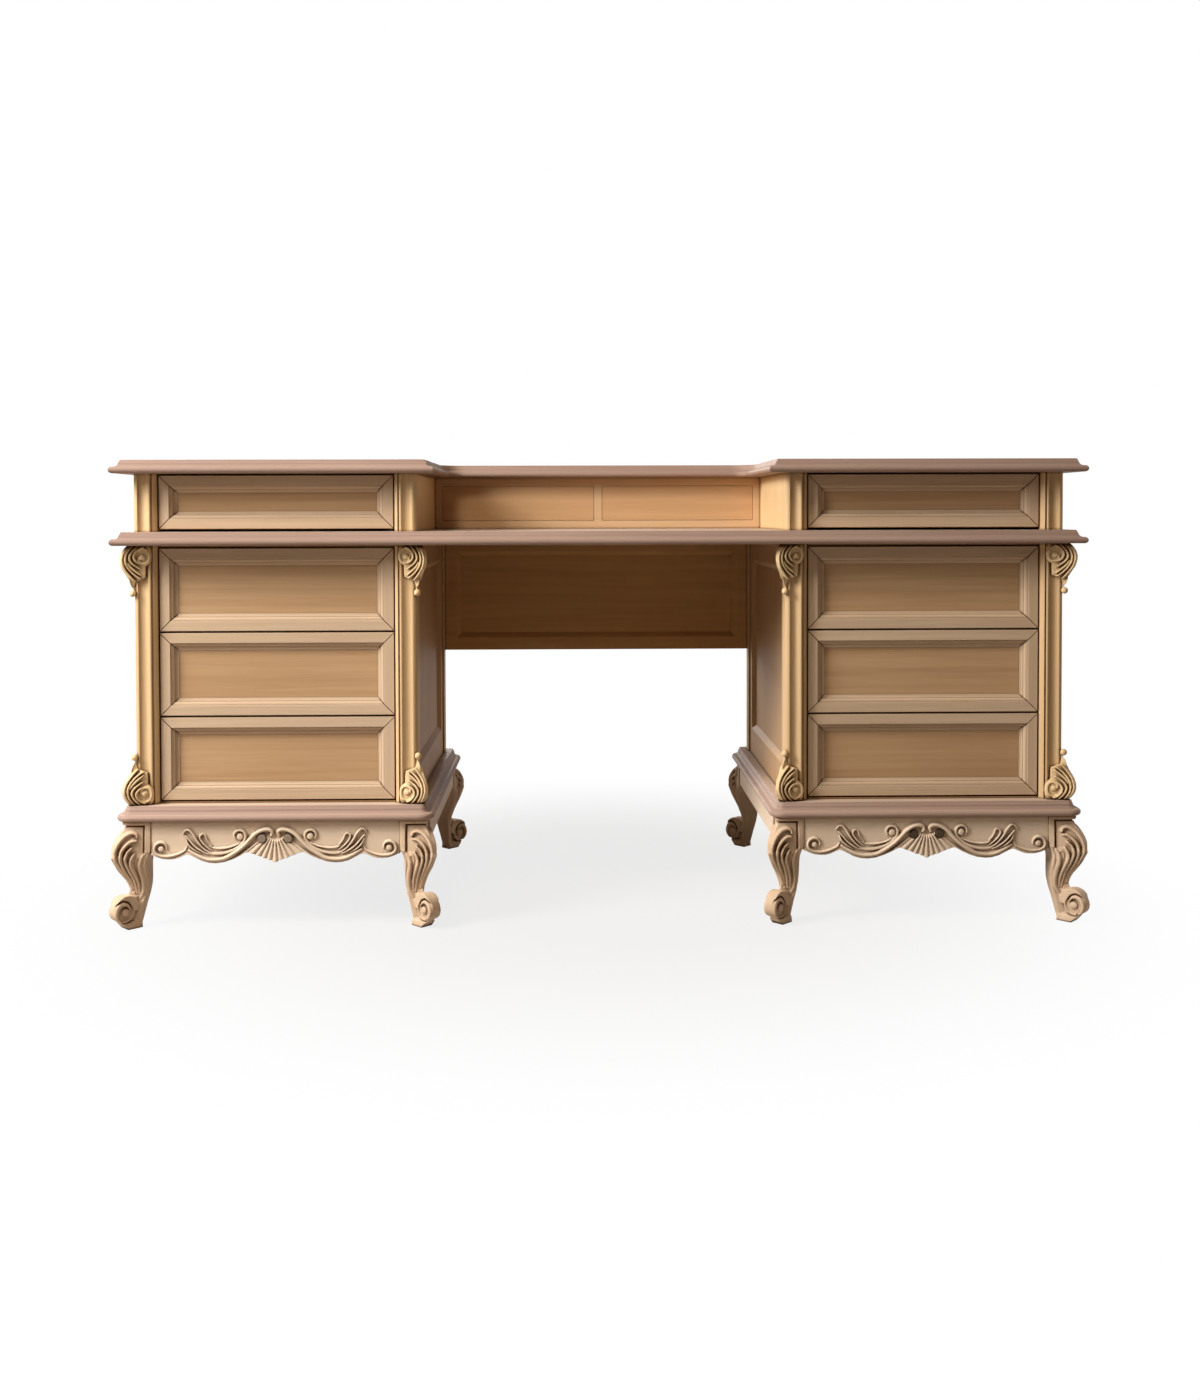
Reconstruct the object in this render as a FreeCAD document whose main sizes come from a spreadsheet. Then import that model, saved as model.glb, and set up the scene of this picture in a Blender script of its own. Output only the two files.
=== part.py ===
import FreeCAD, Part
import math
import os
import Sketcher
from FreeCAD import Vector

# A double-pedestal writing desk with a raised drawer gallery and eight cabriole legs.
# +X runs to the sitter's right, -Y faces the sitter and +Z is up.
# The origin is on the floor, under the middle of the desk.

doc = FreeCAD.newDocument("desk")
sheet = doc.addObject("Spreadsheet::Sheet", "Sizes")
NODES = []


class Size:
    """A length that carries its number and the sheet formula that gives it."""

    def __init__(self, number, formula):
        self.number = number
        self.formula = formula

    def __add__(self, other):
        return join(self, other, "+", lambda a, b: a + b)

    def __radd__(self, other):
        return join(other, self, "+", lambda a, b: a + b)

    def __sub__(self, other):
        return join(self, other, "-", lambda a, b: a - b)

    def __rsub__(self, other):
        return join(other, self, "-", lambda a, b: a - b)

    def __mul__(self, other):
        return join(self, other, "*", lambda a, b: a * b)

    __rmul__ = __mul__

    def __truediv__(self, other):
        return join(self, other, "/", lambda a, b: a / b)

    def __neg__(self):
        return join(-1.0, self, "*", lambda a, b: a * b)


def as_size(thing):
    """Plain shares and zeros become sizes, so that they can be joined to others."""
    if isinstance(thing, Size):
        return thing
    return Size(float(thing), f"{float(thing):.12g}")


def join(left, right, sign, rule):
    """One sum or product of two sizes, as a number and as a formula."""
    left = as_size(left)
    right = as_size(right)
    return Size(rule(left.number, right.number), f"({left.formula} {sign} {right.formula})")


def named(alias, what):
    """One cell of the sheet: a plain number, or a formula on the cells above it."""
    row = named.row
    named.row += 1
    sheet.set(f"A{row}", alias.replace("_", " "))
    if isinstance(what, Size):
        sheet.set(f"B{row}", "=" + what.formula.replace("Sizes.", ""))
        number = what.number
    else:
        sheet.set(f"B{row}", f"{what:.12g}")
        number = float(what)
    sheet.setAlias(f"B{row}", alias)
    return Size(number, f"Sizes.{alias}")


named.row = 1

# Driving sizes of the whole desk
slab_width = 1870  # worktop and gallery top, lip to lip
slab_depth = 700  # worktop and gallery top, front lip to back lip
leg_height = 208  # floor to the plinth boards
carcass_height = 500  # plinth boards to the worktop
gallery_height = 112  # worktop to the gallery top
knee_width = 714  # clear width between the pedestals
slab_thickness = 26  # worktop and gallery top
plinth_thickness = 28  # plinth boards
slab_overhang = 36  # slab lip beyond the corner posts
plinth_overhang = 33  # plinth lip beyond the corner posts
niche_setback = 374  # niche face behind the corner posts

# The moulded edge that the slabs and the plinth boards share
lip_projection = 19  # nose of the edge beyond the flat top
nose_radius = 6.25  # half-round nose of the edge
arris_round = 2  # rounded top arris
fillet_drop = 5  # height of the sloped fillet under the arris
fillet_lean = 2.5  # width of the sloped fillet
edge_root = 6  # moulded strip behind the edge of the flat top
recess_round = 49  # inside corners of the gallery top, at the edge of its flat
plinth_round = 8  # corners of the plinth boards, at the edge of the flat

# Corner posts
post_width = 43  # corner post, across the front
post_depth = 45  # corner post, front to back
post_round = 8  # round outer corner of a post
hollow_width = 19  # hollow on the face of a post
hollow_depth = 4.5  # deepest point of the hollow
hollow_step = 1.3  # small step at each side of the hollow
bead_width = 5.5  # bead beside the hollow
groove_width = 3.5  # groove beside the bead
groove_depth = 3.5  # depth of that groove
face_setback = 12  # drawer fronts behind the faces of the posts

# Frames, panels and boards
board = 18  # plain boards of the carcass
frame_thickness = 20  # side and back frames
frame_setback = 4  # frames behind the faces of the posts
stile_width = 30  # stiles beside the posts
top_rail_height = 44  # top rails of the pedestal frames
bottom_rail_height = 56  # bottom rails of the pedestal frames
panel_thickness = 15  # pedestal panels with their moulding
panel_moulding_width = 14  # sloped moulding round a panel
panel_moulding_depth = 9  # panel field below its moulding
front_rail_height = 3  # thin rails over and under the drawers
front_rail_depth = 36  # thin rails, front to back
front_rail_setback = 1.2  # thin rails behind the faces of the drawers
apron_thickness = 24  # aprons
apron_setback = 2  # aprons behind the faces of the leg blocks
apron_depth = 82  # front apron at its lowest lobes
side_apron_height = 52  # plain side and rear aprons
relief = 5  # height of the carved work over its ground

# Drawers
drawer_gap = 2.5  # gap round and between drawer fronts
side_gap = 1.5  # gap at each side of a drawer
front_thickness = 22  # mitred drawer frames
member_width = 34  # bars of a mitred drawer frame
face_width = 21  # flat face of a bar
panel_recess = 12  # drawer panel behind the face of its frame
panel_lap = 7  # lap of a drawer panel behind its frame
drawer_panel = 7  # thickness of a drawer panel
drawer_back_gap = 50  # clear space behind the pedestal and gallery drawers
drawer_wall = 12  # walls of a drawer box
drawer_floor = 6  # bottoms of the drawer boxes
floor_rise = 8  # drawer bottom above the lower edge of its walls
box_rise = 15  # pedestal drawer box above the lower edge of its front
box_height = 132  # walls of a pedestal drawer box
gallery_box_rise = 12  # gallery drawer box above the lower edge of its front
gallery_box_height = 76  # walls of a gallery drawer box
runner_height = 13  # runner under a drawer wall
runner_width = 18  # runner, from its guide inward
guide_height = 40  # guide strip beside a drawer wall
runner_gap = 0.3  # running gap over a runner

# Niche between the gallery wings
niche_frame_thickness = 18  # face frame of the niche
niche_stile = 17  # stiles of the niche face frame
niche_rail = 18  # rails of the niche face frame
niche_gap = 1  # gap round a niche drawer front
niche_front_thickness = 16  # flat niche drawer fronts
niche_back_gap = 26  # clear space behind the niche drawers
niche_wall = 10  # walls of a niche drawer box

# Modesty panel between the pedestals
modesty_height = 261  # modesty panel below the worktop
modesty_bar = 26  # bars of the modesty frame
modesty_thickness = 18  # modesty frame

# Legs
leg_block = 54  # square block at the top of a leg
leg_inset = 12  # leg block inside the plinth lip
volute_radius = 26  # scroll foot
volute_width = 32  # scroll foot, across
volute_reach = 30  # scroll centre beyond the middle of the leg block
volute_height = 33  # scroll centre above the floor
pad_radius = 18  # pad under a foot
pad_height = 9  # pad under a foot
pad_reach = 20  # pad centre beyond the middle of the leg block
eye_radius = 9  # round eye on each side of the scroll foot
eye_height = 4  # eye over the side of the scroll foot

# Carved brackets on the front posts
bracket_height = 100  # carved brackets at the ends of the front posts
bracket_reach = 25  # unit for the reach of the carved brackets

# Dowels
dowel_radius = 6  # dowel through leg, plinth board and post
dowel_hold = 30  # dowel in the leg and in the post
dowel_gap = 0.2  # glue gap round a dowel

overrun = 3  # how far a cutting solid runs past what it cuts

# Each plain length above goes into the sheet, and its name then stands for the cell
for alias, number in [pair for pair in globals().items() if isinstance(pair[1], (int, float))]:
    globals()[alias] = named(alias, number)

# Counts and shares
pedestal_drawers = 3
leg_corner_share = 0.3

# Places that follow from the sizes
plinth_top = named("plinth_top", leg_height + plinth_thickness)  # floor of the pedestals
worktop_base = named("worktop_base", plinth_top + carcass_height)  # underside of the worktop
worktop_top = named("worktop_top", worktop_base + slab_thickness)  # writing surface
gallery_base = named("gallery_base", worktop_top + gallery_height)  # underside of the gallery top
outer_face = named("outer_face", slab_width / 2 - slab_overhang)  # outer faces of the posts, from the middle
inner_face = named("inner_face", knee_width / 2)  # inner faces of the pedestals, from the middle
front_face = named("front_face", slab_overhang - slab_depth / 2)  # front faces of the posts
back_face = named("back_face", -front_face)  # back faces of the posts
pedestal_middle = named("pedestal_middle", (outer_face + inner_face) / 2)  # middle of a pedestal
opening_width = named("opening_width", outer_face - inner_face - 2 * post_width)  # drawer opening
opening_left = named("opening_left", -pedestal_middle - opening_width / 2)  # left edge of the left opening
opening_right = named("opening_right", -pedestal_middle + opening_width / 2)  # right edge of the left opening
drawer_face = named("drawer_face", front_face + face_setback)  # faces of the drawer fronts
front_width = named("front_width", opening_width - 2 * side_gap)  # drawer front
gaps_between = pedestal_drawers + 1
drawer_height = named(
    "drawer_height",
    (carcass_height - 2 * front_rail_height - gaps_between * drawer_gap) / pedestal_drawers,
)
gallery_front_height = named("gallery_front_height", gallery_height - 3 * drawer_gap)  # gallery drawer front
niche_face = named("niche_face", front_face + niche_setback)  # face of the niche frame
back_inside = named("back_inside", back_face - frame_setback - frame_thickness)  # inside of the backs
drawer_depth = named("drawer_depth", back_inside - drawer_back_gap - drawer_face - front_thickness)
wall_end = named("wall_end", back_face - frame_setback - board)  # inside of the gallery back
niche_box_depth = named("niche_box_depth", wall_end - niche_back_gap - niche_face - niche_front_thickness)
block_face = named("block_face", front_face - plinth_overhang + leg_inset)  # front faces of the leg blocks
block_outer = named("block_outer", outer_face + plinth_overhang - leg_inset)  # outer faces of the leg blocks
block_inner = named("block_inner", inner_face - plinth_overhang + leg_inset)  # inner faces of the leg blocks


def bind(thing, path, length):
    """Ties a property of an object to the sheet."""
    thing.setExpression(path, as_size(length).formula)


def place(thing, low):
    """Ties the place of an object to the sheet."""
    for axis, length in zip("xyz", low):
        bind(thing, f"Placement.Base.{axis}", length)


def box(name, low, size):
    """A board from its low corner and its three sizes."""
    block = doc.addObject("Part::Box", name)
    for path, length in zip(("Length", "Width", "Height"), size):
        bind(block, path, length)
    place(block, low)
    return block


def cylinder(name, foot, radius, height):
    """An upright round bar."""
    bar = doc.addObject("Part::Cylinder", name)
    bind(bar, "Radius", radius)
    bind(bar, "Height", height)
    place(bar, foot)
    return bar


def mirror(name, source, normal, base=(0, 0, 0)):
    """The same piece on the other side of a plane."""
    twin = doc.addObject("Part::Mirroring", name)
    twin.Source = source
    twin.Normal = Vector(*normal)
    for axis, length in zip("xyz", base):
        bind(twin, f"Base.{axis}", length)
    return twin


def cut(name, base, tool):
    """A piece with another taken out of it."""
    rest = doc.addObject("Part::Cut", name)
    rest.Base = base
    rest.Tool = tool
    return rest


def fuse(name, pieces):
    """Several solids grown into one."""
    whole = doc.addObject("Part::MultiFuse", name)
    whole.Shapes = pieces
    return whole


def group(name, pieces):
    """Several separate solids that share one node."""
    bundle = doc.addObject("Part::Compound", name)
    bundle.Links = pieces
    return bundle


def node(thing, label):
    """Marks an object as a sub-part; its label names its file."""
    thing.Label = label
    NODES.append(thing)
    return thing


def both_sides(label, left):
    """A left sub-part and its mirror image on the right."""
    node(left, f"left_{label}")
    return node(mirror(f"right_{label}_mirror", left, (1, 0, 0)), f"right_{label}")


class Arc:
    """A round stretch of an outline, through one point to its end."""

    def __init__(self, through, end):
        self.through = through
        self.end = end


def flat_point(place_pair):
    return Vector(as_size(place_pair[0]).number, as_size(place_pair[1]).number, 0)


def pin_point(sketch, element, spot, place_pair):
    """Ties one point of a sketch to the sheet, or to an axis where it is at zero."""
    for kind, axis, length in zip(("DistanceX", "DistanceY"), (-2, -1), place_pair):
        if not isinstance(length, Size):
            sketch.addConstraint(Sketcher.Constraint("PointOnObject", element, spot, axis))
            continue
        index = sketch.addConstraint(Sketcher.Constraint(kind, -1, 1, element, spot, length.number))
        bind(sketch, f"Constraints[{index}]", length)


def draw(sketch, outline):
    """Draws a closed outline of lines and arcs, with every point tied to the sheet."""
    start = outline[0]
    stretches = outline[1:]
    last = stretches[-1]
    last_end = last.end if isinstance(last, Arc) else last
    if (flat_point(last_end) - flat_point(start)).Length > 1e-6:
        stretches = stretches + [start]
    elements = []
    here = start
    for stretch in stretches:
        end = stretch.end if isinstance(stretch, Arc) else stretch
        if isinstance(stretch, Arc):
            curve = Part.Arc(flat_point(here), flat_point(stretch.through), flat_point(end))
        else:
            curve = Part.LineSegment(flat_point(here), flat_point(end))
        elements.append((sketch.addGeometry(curve), here, end, stretch))
        here = end
    ends = []
    for element, begin, end, stretch in elements:
        first = (sketch.getPoint(element, 1) - flat_point(begin)).Length
        second = (sketch.getPoint(element, 2) - flat_point(begin)).Length
        ends.append((1, 2) if first < second else (2, 1))
    for index, (element, begin, end, stretch) in enumerate(elements):
        following = (index + 1) % len(elements)
        next_element = elements[following][0]
        joint = Sketcher.Constraint("Coincident", element, ends[index][1], next_element, ends[following][0])
        sketch.addConstraint(joint)
        pin_point(sketch, element, ends[index][1], end)
        if isinstance(stretch, Arc):
            helper = sketch.addGeometry(Part.Point(flat_point(stretch.through)), True)
            pin_point(sketch, helper, 1, stretch.through)
            sketch.addConstraint(Sketcher.Constraint("PointOnObject", helper, 1, element))
    return len(elements)


def sketch_in(body, role, name):
    """A sketch on one of the body's own planes."""
    plane = [part for part in body.Origin.OriginFeatures if part.Role == role][0]
    sketch = body.newObject("Sketcher::SketchObject", name)
    sketch.AttachmentSupport = [(plane, "")]
    sketch.MapMode = "FlatFace"
    return sketch


def prism(name, role, outline, length, reverse=False):
    """A body that is one padded outline."""
    body = doc.addObject("PartDesign::Body", name)
    sketch = sketch_in(body, role, f"{name}_outline")
    draw(sketch, outline)
    pad = body.newObject("PartDesign::Pad", f"{name}_pad")
    pad.Profile = sketch
    bind(pad, "Length", length)
    pad.Reversed = reverse
    return body


def eighth(radius):
    """How far the middle of a quarter arc lies from the corner that it rounds."""
    return radius * (1 - math.sqrt(0.5))


def moulded_board(name, outline, back, thickness):
    """A board with the shared moulded edge; outline is the edge of its flat top."""
    body = doc.addObject("PartDesign::Body", name)
    flat = sketch_in(body, "XY_Plane", f"{name}_flat")
    count = draw(flat, outline)
    pad = body.newObject("PartDesign::Pad", f"{name}_pad")
    pad.Profile = flat
    bind(pad, "Length", thickness)
    nose_edge = back + lip_projection - nose_radius
    nose_top = 2 * nose_radius
    arris_edge = back + arris_round
    fillet_edge = arris_edge + fillet_lean
    fillet_foot = thickness - arris_round - fillet_drop
    cove_width = nose_edge - fillet_edge
    cove_height = fillet_foot - nose_top
    section = [
        (back - edge_root, 0),
        (nose_edge, 0),
        Arc((nose_edge + nose_radius, nose_radius), (nose_edge, nose_top)),
        Arc((fillet_edge + eighth(cove_width), nose_top + eighth(cove_height)), (fillet_edge, fillet_foot)),
        (arris_edge, thickness - arris_round),
        Arc((arris_edge - eighth(arris_round), thickness - eighth(arris_round)), (back, thickness)),
        (back - edge_root, thickness),
    ]
    profile = sketch_in(body, "YZ_Plane", f"{name}_section")
    draw(profile, section)
    edge = body.newObject("PartDesign::AdditivePipe", f"{name}_edge")
    edge.Profile = profile
    edge.Spine = (flat, [f"Edge{number + 1}" for number in range(count)])
    edge.Transition = "Right corner"
    return body


def make_worktop():
    half_width = slab_width / 2 - lip_projection
    half_depth = slab_depth / 2 - lip_projection
    outline = [
        (0, half_depth),
        (half_width, half_depth),
        (half_width, -half_depth),
        (-half_width, -half_depth),
        (-half_width, half_depth),
    ]
    body = moulded_board("worktop_board", outline, half_depth, slab_thickness)
    place(body, (0, 0, worktop_base))
    node(body, "worktop")


def make_gallery_top():
    half_width = slab_width / 2 - lip_projection
    half_depth = slab_depth / 2 - lip_projection
    wing = inner_face - slab_overhang + lip_projection
    recess = niche_face - slab_overhang + lip_projection
    turn = recess_round
    outline = [
        (0, half_depth),
        (half_width, half_depth),
        (half_width, -half_depth),
        (wing, -half_depth),
        (wing, recess - turn),
        Arc((wing - eighth(turn), recess - eighth(turn)), (wing - turn, recess)),
        (turn - wing, recess),
        Arc((eighth(turn) - wing, recess - eighth(turn)), (-wing, recess - turn)),
        (-wing, -half_depth),
        (-half_width, -half_depth),
        (-half_width, half_depth),
    ]
    body = moulded_board("gallery_top_board", outline, half_depth, slab_thickness)
    place(body, (0, 0, gallery_base))
    node(body, "gallery_top")


def dowel_places():
    """Dowels stand where the leg blocks and the corner posts overlap, seen from above."""
    across = (outer_face + block_outer - leg_block) / 2
    along = (back_face - block_face - leg_block) / 2
    return across, along


def dowel_holes(name, radius, foot, height):
    """Four upright bars at the corners of the left pedestal."""
    across, along = dowel_places()
    bars = []
    for side, side_name in ((-1, "outer"), (1, "inner")):
        for depth, depth_name in ((-1, "front"), (1, "rear")):
            middle = (-pedestal_middle + side * (across - pedestal_middle), depth * along, foot)
            bars.append(cylinder(f"{name}_{depth_name}_{side_name}", middle, radius, height))
    return bars


def make_plinth_board():
    half_width = (outer_face - inner_face) / 2 + plinth_overhang - lip_projection
    half_depth = back_face + plinth_overhang - lip_projection
    turn = plinth_round
    inset = eighth(turn)
    outline = [
        (0, half_depth),
        (half_width - turn, half_depth),
        Arc((half_width - inset, half_depth - inset), (half_width, half_depth - turn)),
        (half_width, turn - half_depth),
        Arc((half_width - inset, inset - half_depth), (half_width - turn, -half_depth)),
        (turn - half_width, -half_depth),
        Arc((inset - half_width, inset - half_depth), (-half_width, turn - half_depth)),
        (-half_width, half_depth - turn),
        Arc((inset - half_width, half_depth - inset), (turn - half_width, half_depth)),
    ]
    body = moulded_board("plinth_board_body", outline, half_depth, plinth_thickness)
    place(body, (-pedestal_middle, 0, leg_height))
    hole_length = plinth_thickness + 2 * overrun
    drills = dowel_holes("plinth_drill", dowel_radius + dowel_gap, leg_height - overrun, hole_length)
    board_cut = cut("plinth_board_drilled", body, fuse("plinth_drills", drills))
    both_sides("plinth_board", board_cut)


# Middle of the curved flank of a post, as shares of its width and of its drop
FLANK_SHARES = (0.7, 0.43)
# Flat between the hollow and the bead, as a share of what is left of the width
bead_offset_share = 0.05


def post_outline():
    """Plan of a front outer post: outer face at x = 0, front face at y = 0, opening at x = its width."""
    corner = post_round
    hollow_end = corner + hollow_width
    spare = post_width - corner - hollow_width - bead_width - groove_width
    bead_start = hollow_end + spare * bead_offset_share
    bead_end = bead_start + bead_width
    groove_end = bead_end + groove_width
    flank = post_width - groove_end
    drop = face_setback - hollow_step
    flank_middle = (groove_end + flank * FLANK_SHARES[0], hollow_step + drop * FLANK_SHARES[1])
    return [
        (0, post_depth),
        (0, corner),
        Arc((eighth(corner), eighth(corner)), (corner, 0)),
        (corner, hollow_step),
        Arc((corner + hollow_width / 2, hollow_depth), (hollow_end, hollow_step)),
        (bead_start, hollow_step),
        Arc((bead_start + bead_width / 2, 0), (bead_end, hollow_step)),
        (bead_end, groove_depth),
        (groove_end, groove_depth),
        (groove_end, hollow_step),
        Arc(flank_middle, (post_width, face_setback)),
        (post_width, post_depth),
    ]


def make_posts(name, foot, height):
    """A front outer post at the left, and its mirror images at the other corners of the pedestal."""
    outer = prism(f"{name}_front_outer", "XY_Plane", post_outline(), height)
    place(outer, (-outer_face, front_face, foot))
    inner = mirror(f"{name}_front_inner", outer, (1, 0, 0), (-pedestal_middle, 0, 0))
    rear_outer = mirror(f"{name}_rear_outer", outer, (0, 1, 0))
    rear_inner = mirror(f"{name}_rear_inner", inner, (0, 1, 0))
    return outer, inner, rear_outer, rear_inner


def make_pedestal_posts():
    posts = group("pedestal_posts_whole", make_posts("pedestal_post", plinth_top, carcass_height))
    drills = dowel_holes("post_drill", dowel_radius + dowel_gap, plinth_top - overrun, dowel_hold + overrun)
    drilled = cut("pedestal_posts_drilled", posts, fuse("post_drills", drills))
    both_sides("pedestal_posts", drilled)


def frame_boxes(name, low, size, bars, thin_axis):
    """Two stiles and two rails in an upright plane; bars are stile, bottom rail and top rail widths."""
    stile, bottom, top = bars
    long_axis = 1 - thin_axis
    pieces = []
    for part, offset in (("near_stile", 0), ("far_stile", size[long_axis] - stile)):
        corner = list(low)
        corner[long_axis] = low[long_axis] + offset
        extent = list(size)
        extent[long_axis] = stile
        pieces.append(box(f"{name}_{part}", corner, extent))
    for part, offset, height in (("bottom_rail", 0, bottom), ("top_rail", size[2] - top, top)):
        corner = list(low)
        corner[long_axis] = low[long_axis] + stile
        corner[2] = low[2] + offset
        extent = list(size)
        extent[long_axis] = size[long_axis] - 2 * stile
        extent[2] = height
        pieces.append(box(f"{name}_{part}", corner, extent))
    return pieces


def moulded_panel(name, width, height):
    """A panel with a sloped moulding round its sunk field, face down on z = its thickness."""
    blank = box(f"{name}_blank", (0, 0, 0), (width, height, panel_thickness))
    field = doc.addObject("Part::Wedge", f"{name}_field")
    slope = panel_moulding_width
    rim = panel_moulding_width * 0.2
    reach = panel_moulding_depth + overrun
    lean = (slope - rim) * (reach.number / panel_moulding_depth.number)
    foot = panel_thickness - panel_moulding_depth
    bind(field, "Xmin", slope)
    bind(field, "Xmax", width - slope)
    bind(field, "Zmin", slope)
    bind(field, "Zmax", height - slope)
    bind(field, "Ymin", 0)
    bind(field, "Ymax", reach)
    bind(field, "X2min", slope - lean)
    bind(field, "X2max", width - slope + lean)
    bind(field, "Z2min", slope - lean)
    bind(field, "Z2max", height - slope + lean)
    field.Placement = FreeCAD.Placement(Vector(0, 0, 0), FreeCAD.Rotation(Vector(1, 0, 0), 90))
    place(field, (0, height, foot))
    return cut(f"{name}_sunk", blank, field)


def stand(name, panel, low, spin):
    """Stands a flat panel up: spin is the yaw of its face, and low its near lower corner."""
    upright = doc.addObject("Part::Compound", name)
    upright.Links = [panel]
    tilt = FreeCAD.Rotation(Vector(1, 0, 0), 90)
    yaw = FreeCAD.Rotation(Vector(0, 0, 1), spin)
    upright.Placement = FreeCAD.Placement(Vector(0, 0, 0), yaw.multiply(tilt))
    place(upright, low)
    return upright


def make_pedestal_frames():
    """Side and back frames between the posts, with their panels and the thin front rails."""
    run_start = front_face + post_depth
    run = back_face - front_face - 2 * post_depth
    outer_low = (-outer_face + frame_setback, run_start, plinth_top)
    inner_low = (-inner_face - frame_setback - frame_thickness, run_start, plinth_top)
    side_size = (frame_thickness, run, carcass_height)
    bars = (stile_width, bottom_rail_height, top_rail_height)
    frames = frame_boxes("outer_frame", outer_low, side_size, bars, 0)
    frames += frame_boxes("inner_frame", inner_low, side_size, bars, 0)
    back_low = (opening_left, back_face - frame_setback - frame_thickness, plinth_top)
    frames += frame_boxes("back_frame", back_low, (opening_width, frame_thickness, carcass_height), bars, 1)
    rail_size = (opening_width, front_rail_depth, front_rail_height)
    rail_front = drawer_face + front_rail_setback
    for place_name, foot in (("bottom", plinth_top), ("top", worktop_base - front_rail_height)):
        frames.append(box(f"{place_name}_front_rail", (opening_left, rail_front, foot), rail_size))
    both_sides("pedestal_frames", group("pedestal_frames_group", frames))

    side_width = run - 2 * stile_width
    back_width = opening_width - 2 * stile_width
    panel_height = carcass_height - bottom_rail_height - top_rail_height
    sill = plinth_top + bottom_rail_height
    side_panel = moulded_panel("side_panel", side_width, panel_height)
    back_panel = moulded_panel("back_panel", back_width, panel_height)
    depth_in = frame_setback + panel_thickness
    panel_start = run_start + stile_width
    panels = [
        stand("outer_panel", side_panel, (-outer_face + depth_in, panel_start + side_width, sill), -90),
        stand("inner_panel", side_panel, (-inner_face - depth_in, panel_start, sill), 90),
        stand("rear_panel", back_panel, (opening_right - stile_width, back_face - depth_in, sill), 180),
    ]
    both_sides("pedestal_panels", group("pedestal_panels_group", panels))


def drawer_floor_heights():
    """Lower edges of the three pedestal drawer fronts, from the top one down."""
    lowest = plinth_top + front_rail_height + drawer_gap
    pitch = drawer_height + drawer_gap
    return [lowest + pitch * (pedestal_drawers - 1 - index) for index in range(pedestal_drawers)]


def runner_pair(name, left, right, wall_left, wall_right, bottom, front, length, guide):
    """A guide and a runner at each side of a drawer; left and right are the drawer's clear sides."""
    pieces = []
    low = bottom - runner_gap - runner_height
    for side, edge, wall in (("left", left, wall_left), ("right", right, wall_right)):
        inward = 1 if side == "left" else -1
        guide_low = wall if side == "left" else edge
        guide_width = (edge - wall) * inward
        pieces.append(box(f"{name}_{side}_guide", (guide_low, front, low), (guide_width, length, guide)))
        runner_low = edge if side == "left" else edge - runner_width
        runner_size = (runner_width, length, runner_height)
        pieces.append(box(f"{name}_{side}_runner", (runner_low, front, low), runner_size))
    return pieces


def make_pedestal_runners():
    wall_left = -outer_face + frame_setback + frame_thickness
    wall_right = -inner_face - frame_setback - frame_thickness
    front = front_face + post_depth
    length = back_face - front_face - 2 * post_depth
    pieces = []
    for index, bottom in enumerate(drawer_floor_heights()):
        pair = runner_pair(
            f"runner_{index + 1}", opening_left, opening_right, wall_left, wall_right,
            bottom + box_rise, front, length, guide_height,
        )
        pieces += pair
    left = group("left_runners", pieces)
    right = mirror("right_runners", left, (1, 0, 0))
    node(group("pedestal_runner_group", [left, right]), "pedestal_runners")


# The worn outer arris of a drawer bar, as a share of its face, and its corners, as shares of that arris
arris_share = 0.07
ARRIS_SHARES = (1.2, 0.35, 0.5)
# Top and foot of the cove of a drawer bar, as shares of the panel's recess, and the middle of its arc
COVE_SHARES = (0.14, 0.8)
COVE_MIDDLE_SHARES = (0.38, 0.72)


def frame_member_section():
    """Section of a mitred drawer bar: x inward from its outer edge, y back from its face."""
    arris = face_width * arris_share
    side_share, face_share, step_share = ARRIS_SHARES
    cove_start = face_width + arris * step_share
    cove_top = panel_recess * COVE_SHARES[0]
    cove_end = member_width - arris
    cove_foot = panel_recess * COVE_SHARES[1]
    cove_middle = (
        cove_start + (cove_end - cove_start) * COVE_MIDDLE_SHARES[0],
        cove_top + (cove_foot - cove_top) * COVE_MIDDLE_SHARES[1],
    )
    return [
        (0, front_thickness),
        (0, arris * side_share),
        (arris, arris * face_share),
        (face_width, 0),
        (cove_start, cove_top),
        Arc(cove_middle, (cove_end, cove_foot)),
        (member_width, cove_foot),
        (member_width, panel_recess),
        (member_width - panel_lap, panel_recess),
        (member_width - panel_lap, front_thickness),
    ]


def mitred_bar(name, length):
    """A bar of the drawer frame section, mitred at both ends, lying along its own z."""
    bar = prism(f"{name}_bar", "XY_Plane", frame_member_section(), length)
    reach = member_width + overrun
    start = -overrun
    outlines = {
        "foot": [(start, start), (reach, start), (reach, reach)],
        "head": [(start, length - start), (reach, length - start), (reach, length - reach)],
    }
    wedges = []
    for end, outline in outlines.items():
        wedge = prism(f"{name}_{end}_mitre", "XZ_Plane", outline, front_thickness + 2 * overrun)
        place(wedge, (0, front_thickness + overrun, 0))
        wedges.append(wedge)
    return cut(name, bar, fuse(f"{name}_mitres", wedges))


def turned(name, source, angle, low):
    """A copy of a piece turned about Y and set with its old origin at low."""
    copy = doc.addObject("Part::Compound", name)
    copy.Links = [source]
    copy.Placement = FreeCAD.Placement(Vector(0, 0, 0), FreeCAD.Rotation(Vector(0, 1, 0), angle))
    place(copy, low)
    return copy


def drawer_frame(name, height):
    """Four mitred bars round the panel; origin at the lower left corner of the face."""
    upright = mitred_bar(f"{name}_stile", height)
    level = mitred_bar(f"{name}_rail", front_width)
    right = mirror(f"{name}_right_stile", upright, (1, 0, 0), (front_width / 2, 0, 0))
    top = turned(f"{name}_top_rail", level, 90, (0, 0, height))
    bottom = mirror(f"{name}_bottom_rail", top, (0, 0, 1), (0, 0, height / 2))
    return group(f"{name}_frame", [upright, right, top, bottom])


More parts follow.
